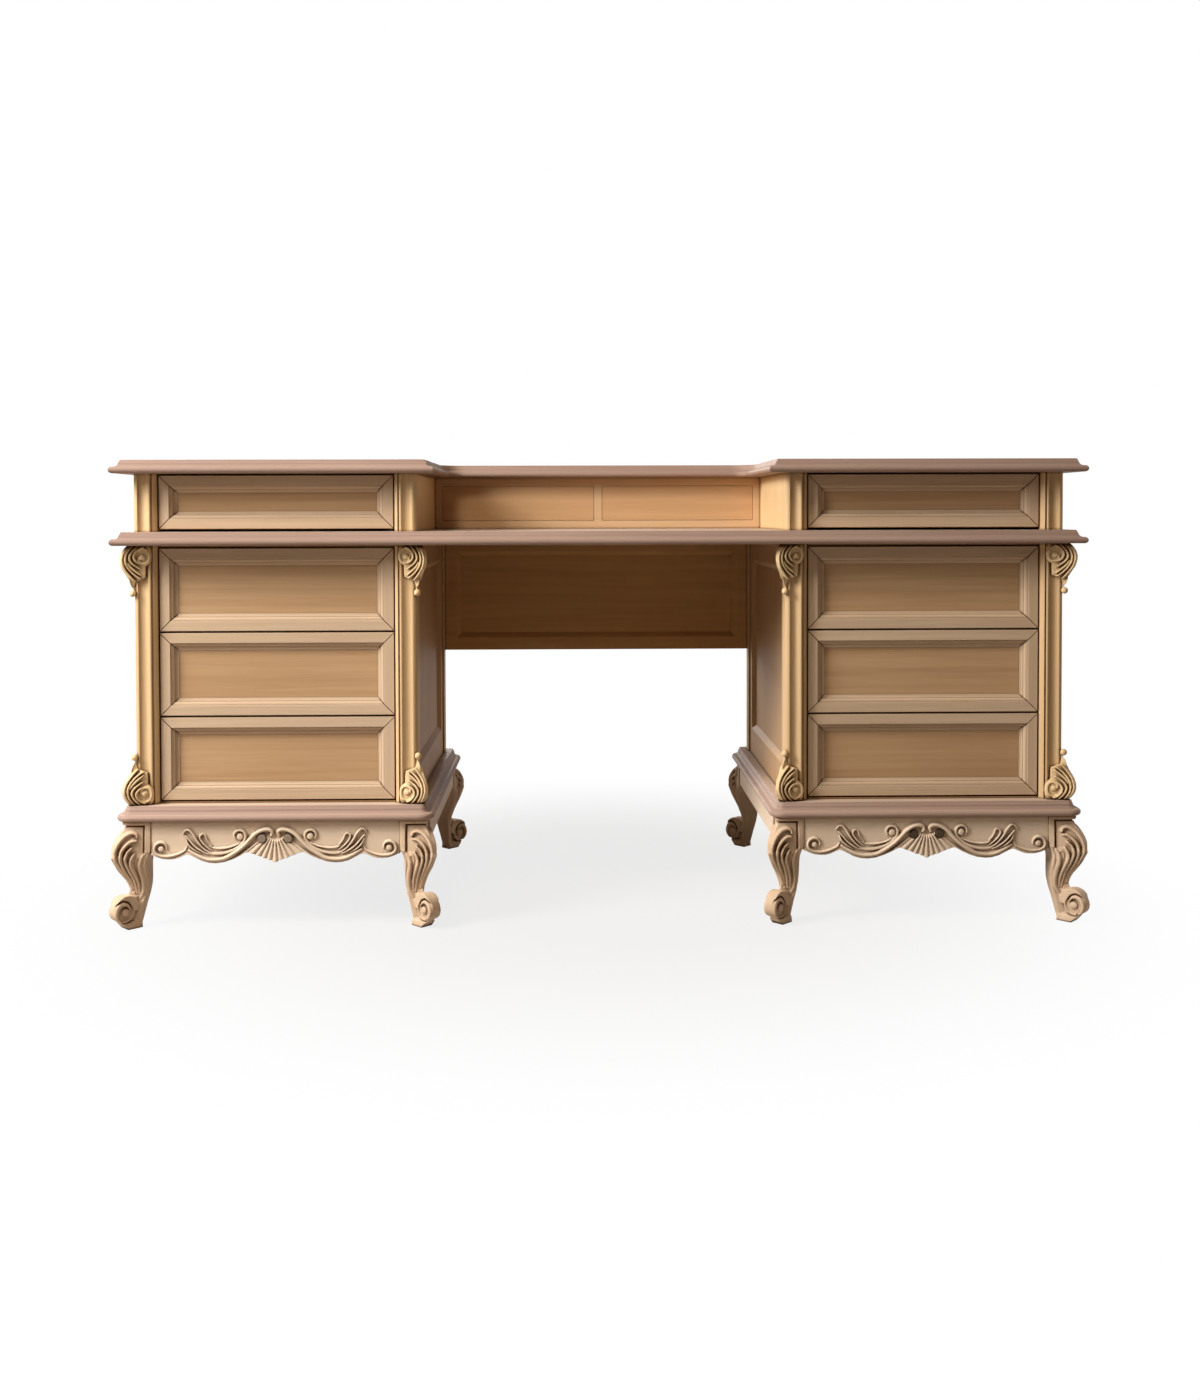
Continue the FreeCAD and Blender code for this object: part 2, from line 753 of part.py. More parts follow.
def drawer_panel_board(name, height):
    """The board behind the bars, and in front of the inner front of the box."""
    edge = member_width - panel_lap
    size = (front_width - 2 * edge, drawer_panel, height - 2 * edge)
    return box(f"{name}_panel", (edge, panel_recess, edge), size)


def drawer_box(name, width, depth, height, wall, rise, front):
    """Sides, back, inner front and bottom; origin at the lower left corner of the drawer face."""
    side_size = (wall, depth, height)
    inner = width - 2 * wall
    bottom_size = (inner, depth - 2 * wall, drawer_floor)
    return group(f"{name}_box", [
        box(f"{name}_left_side", (0, front, rise), side_size),
        box(f"{name}_right_side", (width - wall, front, rise), side_size),
        box(f"{name}_inner_front", (wall, front, rise), (inner, wall, height)),
        box(f"{name}_back", (wall, front + depth - wall, rise), (inner, wall, height)),
        box(f"{name}_bottom", (wall, front + wall, floor_rise + rise), bottom_size),
    ])


def put(name, source, low, label):
    """One placed copy of a shared piece, as a sub-part."""
    copy = group(name, [source])
    place(copy, low)
    node(copy, label)


def make_framed_drawers():
    """Six pedestal drawers and two gallery drawers, each a frame, a panel and a box."""
    plan = (front_width, drawer_depth)
    head = front_thickness
    pedestal = (
        drawer_frame("pedestal_front", drawer_height),
        drawer_panel_board("pedestal_front", drawer_height),
        drawer_box("pedestal_drawer", *plan, box_height, drawer_wall, box_rise, head),
    )
    gallery = (
        drawer_frame("gallery_front", gallery_front_height),
        drawer_panel_board("gallery_front", gallery_front_height),
        drawer_box("gallery_drawer", *plan, gallery_box_height, drawer_wall, gallery_box_rise, head),
    )
    kinds = ("front_frame", "front_panel", "box")
    levels = ("upper", "middle", "lower")
    for side, left in (("left", opening_left + side_gap), ("right", side_gap - opening_right)):
        for level, bottom in zip(levels, drawer_floor_heights()):
            for kind, piece in zip(kinds, pedestal):
                label = f"{side}_{level}_drawer_{kind}"
                put(f"{label}_copy", piece, (left, drawer_face, bottom), label)
        for kind, piece in zip(kinds, gallery):
            label = f"{side}_gallery_drawer_{kind}"
            put(f"{label}_copy", piece, (left, drawer_face, worktop_top + 2 * drawer_gap), label)


def make_gallery():
    """Posts, side boards, back, runners and the niche frame with its two flat drawers."""
    outer, inner, rear_outer, rear_inner = make_posts("gallery_post", worktop_top, gallery_height)
    left_posts = group("left_gallery_posts", [outer, inner, rear_outer])
    right_posts = mirror("right_gallery_posts", left_posts, (1, 0, 0))
    node(group("gallery_posts_group", [left_posts, right_posts]), "gallery_posts")

    side_start = front_face + post_depth
    side_run = back_face - front_face - 2 * post_depth
    outer_side = box("gallery_outer_side", (-outer_face + frame_setback, side_start, worktop_top),
                     (board, side_run, gallery_height))
    inner_side = box("gallery_inner_side", (-inner_face - board, side_start, worktop_top),
                     (board, wall_end - side_start, gallery_height))
    left_sides = group("left_gallery_sides", [outer_side, inner_side])
    right_sides = mirror("right_gallery_sides", left_sides, (1, 0, 0))
    node(group("gallery_sides_group", [left_sides, right_sides]), "gallery_sides")

    back_half = outer_face - post_width
    back_size = (2 * back_half, board, gallery_height)
    node(box("gallery_back_board", (-back_half, wall_end, worktop_top), back_size), "gallery_back")

    wing_front = front_face + post_depth
    wing_length = drawer_depth - post_depth
    outer_wall = -outer_face + frame_setback + board
    inner_wall = -inner_face - board
    wing_floor = worktop_top + 2 * drawer_gap + gallery_box_rise
    wing = runner_pair(
        "gallery_runner", opening_left, opening_right, outer_wall, inner_wall,
        wing_floor, wing_front, wing_length, guide_height,
    )
    niche_inner = niche_opening_left()
    niche_width = niche_opening_width()
    shelf_front = niche_face + niche_frame_thickness
    shelf_length = wall_end - shelf_front
    niche_floor = worktop_top + niche_rail + niche_gap
    strip_height = niche_floor - worktop_top - runner_gap
    wall_strip = box("niche_wall_runner", (-inner_face, shelf_front, worktop_top),
                     (niche_stile + runner_width, shelf_length, strip_height))
    half_divider = niche_stile / 2
    middle_strip = box("niche_middle_runner", (-half_divider - runner_width, shelf_front, worktop_top),
                       (runner_width, shelf_length, strip_height))
    wall_guide = box("niche_wall_guide", (-inner_face, shelf_front, worktop_top + strip_height),
                     (niche_stile, shelf_length, guide_height))
    left = group("left_gallery_runners", wing + [wall_strip, middle_strip, wall_guide])
    right = mirror("right_gallery_runners", left, (1, 0, 0))
    divider = box("niche_divider", (-half_divider, shelf_front, worktop_top),
                  (niche_stile, shelf_length, gallery_height))
    node(group("gallery_runner_group", [left, right, divider]), "gallery_runners")

    rail_size = (2 * inner_face, niche_frame_thickness, niche_rail)
    stile_size = (niche_stile, niche_frame_thickness, gallery_height - 2 * niche_rail)
    stile_foot = worktop_top + niche_rail
    frame = [
        box("niche_bottom_rail", (-inner_face, niche_face, worktop_top), rail_size),
        box("niche_top_rail", (-inner_face, niche_face, gallery_base - niche_rail), rail_size),
        box("niche_left_stile", (-inner_face, niche_face, stile_foot), stile_size),
        box("niche_middle_stile", (-half_divider, niche_face, stile_foot), stile_size),
        box("niche_right_stile", (inner_face - niche_stile, niche_face, stile_foot), stile_size),
    ]
    node(group("niche_frame_group", frame), "niche_face_frame")

    wide = niche_width - 2 * niche_gap
    tall = gallery_height - 2 * niche_rail - 2 * niche_gap
    front_board = box("niche_front_board", (0, 0, 0), (wide, niche_front_thickness, tall))
    crate = drawer_box("niche_drawer", wide, niche_box_depth, tall, niche_wall, 0, niche_front_thickness)
    for side, left_edge in (("left", niche_inner + niche_gap), ("right", half_divider + niche_gap)):
        low = (left_edge, niche_face, stile_foot + niche_gap)
        put(f"{side}_niche_front_copy", front_board, low, f"{side}_niche_drawer_front")
        put(f"{side}_niche_box_copy", crate, low, f"{side}_niche_drawer_box")


def niche_opening_left():
    return -inner_face + niche_stile


def niche_opening_width():
    """Clear width between a wall stile and the middle one, whose half lies in each side."""
    return inner_face - niche_stile - niche_stile / 2


def make_modesty():
    """A frame and a sunk panel that close the back of the knee hole."""
    low = (-inner_face, back_face - frame_setback - modesty_thickness, worktop_base - modesty_height)
    size = (2 * inner_face, modesty_thickness, modesty_height)
    bars = (modesty_bar, modesty_bar, modesty_bar)
    node(group("modesty_frame_group", frame_boxes("modesty", low, size, bars, 1)), "modesty_frame")
    panel = moulded_panel("modesty_board", size[0] - 2 * modesty_bar, modesty_height - 2 * modesty_bar)
    low_corner = (low[0] + modesty_bar, low[1] + panel_thickness, low[2] + modesty_bar)
    node(stand("modesty_panel_upright", panel, low_corner, 0), "modesty_panel")


# Lower edge of the front apron, from the middle to a leg block: shares of half its length and of its depth
APRON_EDGE_SHARES = [
    (0.0, 0.99),
    (0.12, 0.93),
    (0.21, 0.80),
    (0.26, 0.735),
    (0.38, 0.90),
    (0.525, 1.0),
    (0.65, 0.93),
    (0.725, 0.77),
    (0.81, 0.905),
    (0.92, 0.84),
    (1.0, 0.78),
]


def make_front_apron():
    """The scalloped board between two leg blocks, with its carved band, volutes and shell."""
    half = (block_outer - block_inner) / 2 - leg_block
    edge = [(share_x * half, -share_z * apron_depth) for share_x, share_z in APRON_EDGE_SHARES]
    lobes = [Arc(edge[1], edge[2]), edge[3], Arc(edge[5], edge[7]), Arc(edge[8], edge[10])]
    back_lobes = [
        Arc((-edge[8][0], edge[8][1]), (-edge[7][0], edge[7][1])),
        Arc((-edge[5][0], edge[5][1]), (-edge[3][0], edge[3][1])),
        (-edge[2][0], edge[2][1]),
        Arc((-edge[1][0], edge[1][1]), (0, edge[0][1])),
    ]
    outline = [(0, edge[0][1])] + lobes + [(half, 0), (-half, 0), (-half, edge[10][1])] + back_lobes
    board_body = prism("apron_board", "XZ_Plane", outline, apron_thickness, reverse=True)
    place(board_body, (-pedestal_middle, block_face + apron_setback, leg_height))
    carving = carved_work("apron_carving", half)
    both_sides("front_apron", fuse("front_apron_whole", [board_body, carving]))


# Middle line of the carved band on half an apron, from the shell outward, as shares of its length and depth
BAND_SHARES = [
    (0.055, 0.36),
    (0.115, 0.22),
    (0.20, 0.40),
    (0.33, 0.72),
    (0.53, 0.86),
    (0.70, 0.66),
    (0.74, 0.24),
]
# Volute eyes on half an apron: place along it and down it, and radius, as shares of its length and depth
EYE_SHARES = [(0.30, 0.37, 0.075), (0.915, 0.62, 0.075), (0.095, 0.45, 0.06)]
# Half the width of the band, as a share of the depth, and of itself at its thin ends
band_half_share = 0.055
band_thin_share = 0.55
# How deep the carving sits in the board, and how far eyes and ribs stand out, as shares of the relief
sunk_share = 0.5
eye_rise_share = 1.2
rib_rise_share = 0.8
# The shell: its hub and its reach down the apron, the reach that its sides lose, its root, and rib width
rib_count = 11
shell_spread = math.radians(62)
hub_share = 0.42
shell_reach_share = 0.545
shell_loss_share = 0.10
rib_root_share = 0.28
rib_width_share = 0.62


def carved_work(name, half):
    """Bands, volutes and shell ribs that stand a little proud of the apron."""
    width = half.number
    depth = apron_depth.number
    height = relief.number
    ground = (block_face + apron_setback).number
    top = leg_height.number
    middle = -pedestal_middle.number
    band_half = depth * band_half_share
    sink = height * sunk_share
    solids = []
    for side in (-1, 1):
        points = [Vector(middle + side * sx * width, ground, top - sz * depth) for sx, sz in BAND_SHARES]
        path = Part.BSplineCurve()
        path.interpolate(points)
        steps = 4 * len(BAND_SHARES)
        upper = []
        lower = []
        first, last = path.FirstParameter, path.LastParameter
        for step in range(steps + 1):
            along = first + (last - first) * step / steps
            spot = path.value(along)
            lead = path.tangent(along)[0]
            normal = Vector(-lead.z, 0, lead.x)
            taper = band_thin_share + (1 - band_thin_share) * math.sin(math.pi * step / steps)
            upper.append(spot + normal * band_half * taper)
            lower.append(spot - normal * band_half * taper)
        rim = upper + lower[::-1]
        face = Part.Face(Part.makePolygon(rim + [rim[0]]))
        solids.append(raised(face, height, sink))
        for sx, sz, share in EYE_SHARES:
            spot = Vector(middle + side * sx * width, ground, top - sz * depth)
            disk = Part.Face(Part.Wire(Part.makeCircle(share * depth, spot, Vector(0, -1, 0))))
            solids.append(raised(disk, height * eye_rise_share, sink))
    hub = Vector(middle, ground, top - hub_share * depth)
    for index in range(rib_count):
        turn_share = 2 * index / (rib_count - 1) - 1
        angle = shell_spread * turn_share
        reach = depth * (shell_reach_share - shell_loss_share * abs(turn_share))
        lead = Vector(math.sin(angle), 0, -math.cos(angle))
        normal = Vector(lead.z, 0, -lead.x)
        half_angle = shell_spread / (rib_count - 1) * rib_width_share
        tip = hub + lead * reach
        root = hub + lead * reach * rib_root_share
        tip_half = reach * math.tan(half_angle)
        root_half = tip_half * rib_root_share
        corners = [
            root + normal * root_half,
            tip + normal * tip_half,
            tip - normal * tip_half,
            root - normal * root_half,
        ]
        face = Part.Face(Part.makePolygon(corners + [corners[0]]))
        solids.append(raised(face, height * rib_rise_share, sink))
    whole = solids[0].multiFuse(solids[1:])
    carving = doc.addObject("Part::Feature", name)
    carving.Shape = whole
    return carving


def raised(face, height, sink):
    """A flat carved piece, from a little inside the board to its full relief."""
    face.translate(Vector(0, sink, 0))
    return face.extrude(Vector(0, -height - sink, 0))


def make_side_aprons():
    """Plain boards between the leg blocks at the sides and at the rear."""
    run = 2 * (-block_face) - 2 * leg_block
    front = block_face + leg_block
    foot = leg_height - side_apron_height
    side_size = (apron_thickness, run, side_apron_height)
    rear_size = (block_outer - block_inner - 2 * leg_block, apron_thickness, side_apron_height)
    rear_face = -block_face - apron_setback - apron_thickness
    outer = box("outer_side_apron", (-block_outer + apron_setback, front, foot), side_size)
    inner = box("inner_side_apron", (-block_inner - apron_setback - apron_thickness, front, foot), side_size)
    rear = box("rear_apron", (-block_outer + leg_block, rear_face, foot), rear_size)
    left = group("left_side_aprons", [outer, inner, rear])
    right = mirror("right_side_aprons", left, (1, 0, 0))
    node(group("side_aprons_group", [left, right]), "side_aprons")


# Leg sections, from the top down: share of the leg height, and how far the outer and the inner faces
# stand beyond the outer face and inside the inner face of the block, as shares of the block
LEG_SHARES = [
    (1.0, 0.0, 0.0),
    (0.905, 0.0, 0.008),
    (0.89, 0.005, 0.012),
    (0.85, 0.10, 0.025),
    (0.78, 0.36, 0.05),
    (0.70, 0.48, 0.10),
    (0.64, 0.50, 0.15),
    (0.58, 0.43, 0.17),
    (0.51, 0.26, 0.18),
    (0.44, 0.07, 0.175),
    (0.375, -0.07, 0.17),
    (0.30, -0.08, 0.22),
    (0.20, 0.02, 0.31),
    (0.10, 0.06, 0.40),
    (0.03, -0.02, 0.42),
]


def rounded_square(low, high, round_share, height):
    """A level square wire with round corners."""
    turn = (high - low) * round_share
    inset = eighth(turn)
    corners = [
        ((low + turn, low), (high - turn, low), (high - inset, low + inset), (high, low + turn)),
        ((high, low + turn), (high, high - turn), (high - inset, high - inset), (high - turn, high)),
        ((high - turn, high), (low + turn, high), (low + inset, high - inset), (low, high - turn)),
        ((low, high - turn), (low, low + turn), (low + inset, low + inset), (low + turn, low)),
    ]
    edges = []
    for start, stop, middle, following in corners:
        a, b, c, d = [Vector(x, y, height) for x, y in (start, stop, middle, following)]
        edges.append(Part.LineSegment(a, b).toShape())
        edges.append(Part.Arc(b, c, d).toShape())
    return Part.Wire(edges)


def leg_shape():
    """One cabriole leg, with the outer front corner of its block at the origin."""
    block = leg_block.number
    height = leg_height.number
    square_top = height * LEG_SHARES[1][0]
    wires = []
    for rise, outward, inward in LEG_SHARES[1:]:
        low = -outward * block
        high = block - inward * block
        wires.append(rounded_square(low, high, leg_corner_share, rise * height))
    stem = Part.makeLoft(wires, True, False)
    square = Part.makeBox(block, block, height - square_top, Vector(0, 0, square_top))
    middle = block / 2
    diagonal = Vector(-1, -1, 0) / math.sqrt(2)
    across = Vector(1, -1, 0) / math.sqrt(2)
    half_roll = volute_width.number / 2
    centre = Vector(middle, middle, volute_height.number) + diagonal * volute_reach.number
    roll = Part.makeCylinder(volute_radius.number, 2 * half_roll, centre - across * half_roll, across)
    eye_half = half_roll + eye_height.number
    eyes = Part.makeCylinder(eye_radius.number, 2 * eye_half, centre - across * eye_half, across)
    foot_middle = Vector(middle, middle, 0) + diagonal * pad_reach.number
    pad = Part.makeCylinder(pad_radius.number, pad_height.number, foot_middle)
    leg = square.multiFuse([stem, roll, eyes, pad]).removeSplitter()
    return leg


def make_legs():
    """The left front outer leg, its mirror images under both pedestals, and the dowels that hold them."""
    raw = doc.addObject("Part::Feature", "leg_carved")
    raw.Shape = leg_shape()
    place(raw, (-block_outer, block_face, 0))
    drill = cylinder("leg_drill", (-dowel_places()[0], -dowel_places()[1], leg_height - dowel_hold),
                     dowel_radius + dowel_gap, dowel_hold + overrun)
    front_outer = cut("leg_drilled", raw, drill)
    front_inner = mirror("leg_front_inner", front_outer, (1, 0, 0), (-pedestal_middle, 0, 0))
    rear_outer = mirror("leg_rear_outer", front_outer, (0, 1, 0))
    rear_inner = mirror("leg_rear_inner", front_inner, (0, 1, 0))
    for part, leg in (("front_outer", front_outer), ("front_inner", front_inner),
                      ("rear_outer", rear_outer), ("rear_inner", rear_inner)):
        both_sides(f"{part}_leg", leg)

    foot = leg_height - dowel_hold
    length = plinth_thickness + 2 * dowel_hold
    left = group("left_dowels", dowel_holes("dowel", dowel_radius, foot, length))
    right = mirror("right_dowels", left, (1, 0, 0))
    node(group("dowel_group", [left, right]), "leg_dowels")


# Carved brackets on the front posts: height as a share, then reach beyond the post and inside it, as shares
BRACKET_SHARES = [
    (0.0, 0.05, 0.22),
    (0.06, 0.20, 0.30),
    (0.13, 0.12, 0.24),
    (0.20, 0.08, 0.16),
    (0.32, 0.14, 0.30),
    (0.45, 0.42, 0.58),
    (0.62, 0.70, 0.92),
    (0.76, 0.80, 1.10),
    (0.90, 0.66, 1.10),
    (1.0, 0.40, 0.95),
]


def bracket_shape():
    """A bracket that swells upward, with the outer front corner of the post at the origin."""
    height = bracket_height.number
    reach = bracket_reach.number
    wires = []
    for rise, outward, inward in BRACKET_SHARES:
        wires.append(rounded_square(-outward * reach, inward * reach, leg_corner_share, rise * height))
    return Part.makeLoft(wires, True, False)


def make_brackets():
    """Scroll brackets at the top and bottom of both front posts of each pedestal."""
    raw = doc.addObject("Part::Feature", "bracket_carved")
    raw.Shape = bracket_shape()
    place(raw, (-outer_face, front_face, worktop_base - bracket_height))
    post = prism("bracket_post", "XY_Plane", post_outline(), bracket_height + 2 * overrun)
    place(post, (-outer_face, front_face, worktop_base - bracket_height - overrun))
    outer = cut("bracket_top_outer", raw, post)
    inner = mirror("bracket_top_inner", outer, (1, 0, 0), (-pedestal_middle, 0, 0))
    left = group("left_top_brackets", [outer, inner])
    right = mirror("right_top_brackets", left, (1, 0, 0))
    top = node(group("top_bracket_group", [left, right]), "top_brackets")
    middle = plinth_top + carcass_height / 2
    node(mirror("bottom_bracket_mirror", top, (0, 0, 1), (0, 0, middle)), "bottom_brackets")


def check_document():
    """Stops with a message if any feature failed or any sub-part is empty or invalid."""
    failed = [thing.Name for thing in doc.Objects if "Invalid" in thing.State or "Error" in thing.State]
    if failed:
        raise RuntimeError(f"failed features: {failed}")
    for part in NODES:
        if part.Shape.isNull() or not part.Shape.isValid():
            raise RuntimeError(f"bad shape: {part.Label}")
        if not part.Shape.Solids:
            raise RuntimeError(f"no solid: {part.Label}")


def write_parts():
    os.makedirs("parts", exist_ok=True)
    for part in NODES:
        part.Shape.exportStep(f"parts/{part.Label}.step")
    print(len(NODES), "sub-parts,", sum(len(part.Shape.Solids) for part in NODES), "solids")


make_gallery_top()
make_worktop()
make_plinth_board()
make_front_apron()
make_side_aprons()
make_legs()
make_pedestal_posts()
make_pedestal_frames()
make_pedestal_runners()
make_brackets()
make_gallery()
make_modesty()
make_framed_drawers()
doc.recompute()
check_document()
write_parts()
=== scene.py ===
"""A carved pedestal desk of pale wood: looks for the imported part."""
import math

import bpy
import numpy as np
from mathutils import Matrix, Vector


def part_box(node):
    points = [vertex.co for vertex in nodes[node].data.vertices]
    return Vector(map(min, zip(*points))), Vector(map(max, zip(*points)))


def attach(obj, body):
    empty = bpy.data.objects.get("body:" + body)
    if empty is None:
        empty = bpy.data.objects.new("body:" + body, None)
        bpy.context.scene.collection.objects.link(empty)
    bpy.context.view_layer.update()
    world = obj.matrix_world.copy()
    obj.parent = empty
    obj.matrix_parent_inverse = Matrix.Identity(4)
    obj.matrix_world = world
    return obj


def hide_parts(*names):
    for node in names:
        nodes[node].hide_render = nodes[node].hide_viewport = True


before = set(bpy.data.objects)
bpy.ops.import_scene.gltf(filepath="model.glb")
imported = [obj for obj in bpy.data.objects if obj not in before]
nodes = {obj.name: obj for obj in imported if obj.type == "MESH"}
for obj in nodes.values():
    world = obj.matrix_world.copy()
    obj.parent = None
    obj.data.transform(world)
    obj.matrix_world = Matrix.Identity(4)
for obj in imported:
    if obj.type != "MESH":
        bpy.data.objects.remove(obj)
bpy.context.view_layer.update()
scene = bpy.context.scene
scene.view_settings.view_transform = "Standard"

# Camera, fitted to the desk's straight edges in the photograph: turns in radians, place in metres
CAMERA_YAW = -0.0196
CAMERA_PITCH = -0.0265
CAMERA_ROLL = -0.0024
CAMERA_PLACE = (-0.0570, -3.0712, 0.7969)


def make_camera():
    yaw, pitch, roll = CAMERA_YAW, CAMERA_PITCH, CAMERA_ROLL
    turn_z = np.array([
        [math.cos(yaw), math.sin(yaw), 0],
        [-math.sin(yaw), math.cos(yaw), 0],
        [0, 0, 1],
    ])
    turn_x = np.array([
        [1, 0, 0],
        [0, math.cos(pitch), math.sin(pitch)],
        [0, -math.sin(pitch), math.cos(pitch)],
    ])
    turn_y = np.array([
        [math.cos(roll), 0, math.sin(roll)],
        [0, 1, 0],
        [-math.sin(roll), 0, math.cos(roll)],
    ])
    right, forward, up = turn_y @ turn_x @ turn_z
    data = bpy.data.cameras.new("camera")
    data.lens = 36.71
    data.sensor_width = 36
    data.shift_y = -0.1067
    camera = bpy.data.objects.new("camera", data)
    rotation = np.eye(4)
    rotation[:3, 0] = right
    rotation[:3, 1] = up
    rotation[:3, 2] = -forward
    rotation[:3, 3] = CAMERA_PLACE
    camera.matrix_world = Matrix(rotation.tolist())
    scene.collection.objects.link(camera)
    scene.camera = camera


def make_lamp(name, place, aim, width, height, power, colour):
    """A rectangular lamp at a place in metres, turned towards another."""
    data = bpy.data.lights.new(name, "AREA")
    data.shape = "RECTANGLE"
    data.size = width
    data.size_y = height
    data.energy = power
    data.color = colour
    lamp = bpy.data.objects.new(name, data)
    back = np.array(place, float) - np.array(aim, float)
    back /= np.linalg.norm(back)
    side = np.cross((0, 0, 1), back)
    side /= np.linalg.norm(side)
    rotation = np.eye(4)
    rotation[:3, 0] = side
    rotation[:3, 1] = np.cross(back, side)
    rotation[:3, 2] = back
    rotation[:3, 3] = place
    lamp.matrix_world = Matrix(rotation.tolist())
    scene.collection.objects.link(lamp)


def link(tree, source, target):
    tree.links.new(source, target)


def camera_like_rays(tree):
    """1 for camera, glossy and transmission rays, otherwise 0."""
    path = tree.nodes.new("ShaderNodeLightPath")
    first = tree.nodes.new("ShaderNodeMath")
    first.operation = "MAXIMUM"
    link(tree, path.outputs["Is Camera Ray"], first.inputs[0])
    link(tree, path.outputs["Is Glossy Ray"], first.inputs[1])
    second = tree.nodes.new("ShaderNodeMath")
    second.operation = "MAXIMUM"
    link(tree, first.outputs[0], second.inputs[0])
    link(tree, path.outputs["Is Transmission Ray"], second.inputs[1])
    return second.outputs[0]


def make_world():
    """White behind the desk, and a weak warm fill that lights it."""
    world = bpy.data.worlds.new("studio")
    scene.world = world
    world.use_nodes = True
    tree = world.node_tree
    tree.nodes.clear()
    out = tree.nodes.new("ShaderNodeOutputWorld")
    fill = tree.nodes.new("ShaderNodeBackground")
    fill.inputs["Color"].default_value = (1.0, 0.76, 0.54, 1)
    fill.inputs["Strength"].default_value = 0.08
    white = tree.nodes.new("ShaderNodeBackground")
    white.inputs["Color"].default_value = (1, 1, 1, 1)
    white.inputs["Strength"].default_value = 1.0
    mix = tree.nodes.new("ShaderNodeMixShader")
    link(tree, camera_like_rays(tree), mix.inputs[0])
    link(tree, fill.outputs[0], mix.inputs[1])
    link(tree, white.outputs[0], mix.inputs[2])
    link(tree, mix.outputs[0], out.inputs["Surface"])


def add_object(name, vertices, faces):
    """A smooth mesh of vertices in metres, whose faces all have the same number of corners."""
    mesh = bpy.data.meshes.new(name)
    vertices = np.asarray(vertices, np.float32)
    faces = np.asarray(faces, np.int32)
    count, corners = faces.shape
    mesh.vertices.add(len(vertices))
    mesh.vertices.foreach_set("co", vertices.ravel())
    mesh.loops.add(count * corners)
    mesh.loops.foreach_set("vertex_index", faces.ravel())
    mesh.polygons.add(count)
    mesh.polygons.foreach_set("loop_start", np.arange(0, count * corners, corners, dtype=np.int32))
    mesh.update(calc_edges=True)
    mesh.validate()
    mesh.polygons.foreach_set("use_smooth", np.ones(len(mesh.polygons), bool))
    thing = bpy.data.objects.new(name, mesh)
    scene.collection.objects.link(thing)
    return thing


FLOOR_HALF = 12.0


def make_floor():
    """A pale floor that keeps the soft shadow near the desk and is plain white further out."""
    half = FLOOR_HALF
    corners = [(-half, -half, 0), (half, -half, 0), (half, half, 0), (-half, half, 0)]
    floor = add_object("floor", corners, [(0, 1, 2, 3)])
    material = bpy.data.materials.new("pale_floor")
    material.use_nodes = True
    tree = material.node_tree
    tree.nodes.clear()
    out = tree.nodes.new("ShaderNodeOutputMaterial")
    matt = tree.nodes.new("ShaderNodeBsdfDiffuse")
    matt.inputs["Color"].default_value = (0.40, 0.36, 0.32, 1)
    lift = tree.nodes.new("ShaderNodeEmission")
    lift.inputs["Color"].default_value = (1, 1, 1, 1)
    lift.inputs["Strength"].default_value = 1.0
    place = tree.nodes.new("ShaderNodeTexCoord")
    reach = tree.nodes.new("ShaderNodeVectorMath")
    reach.operation = "LENGTH"
    link(tree, place.outputs["Object"], reach.inputs[0])
    spread = tree.nodes.new("ShaderNodeMapRange")
    spread.interpolation_type = "SMOOTHSTEP"
    spread.inputs["From Min"].default_value = 0.4
    spread.inputs["From Max"].default_value = 1.3
    spread.inputs["To Min"].default_value = 0.80
    link(tree, reach.outputs["Value"], spread.inputs["Value"])
    share = tree.nodes.new("ShaderNodeMath")
    share.operation = "MULTIPLY"
    link(tree, camera_like_rays(tree), share.inputs[0])
    link(tree, spread.outputs[0], share.inputs[1])
    both = tree.nodes.new("ShaderNodeMixShader")
    link(tree, share.outputs[0], both.inputs[0])
    link(tree, matt.outputs[0], both.inputs[1])
    link(tree, lift.outputs[0], both.inputs[2])
    link(tree, both.outputs[0], out.inputs["Surface"])
    floor.data.materials.append(material)


# Wood: its sheen and relief, and the tones of painted shade and dust in grooves and of paler edges, partly
# wear and partly painted highlight, as shares of its colours
WOOD_ROUGHNESS = 0.55
WOOD_SHEEN = 0.10
FIBRE_BUMP = 0.25
FIBRE_RELIEF = 0.0004
GROOVE_TONE = 0.14
GROOVE_TINT = (1.25, 0.75, 0.4)
ARRIS_TONE = 1.22
ARRIS_REACH = 0.0015
# How level a face is where the moulded edge gives way to the painted light on the level top
TOP_FROM, TOP_TO = 0.985, 0.998


def tint(colour, share=1.0):
    """A colour scaled by a share, with full alpha."""
    return tuple(share * c for c in colour) + (1.0,)


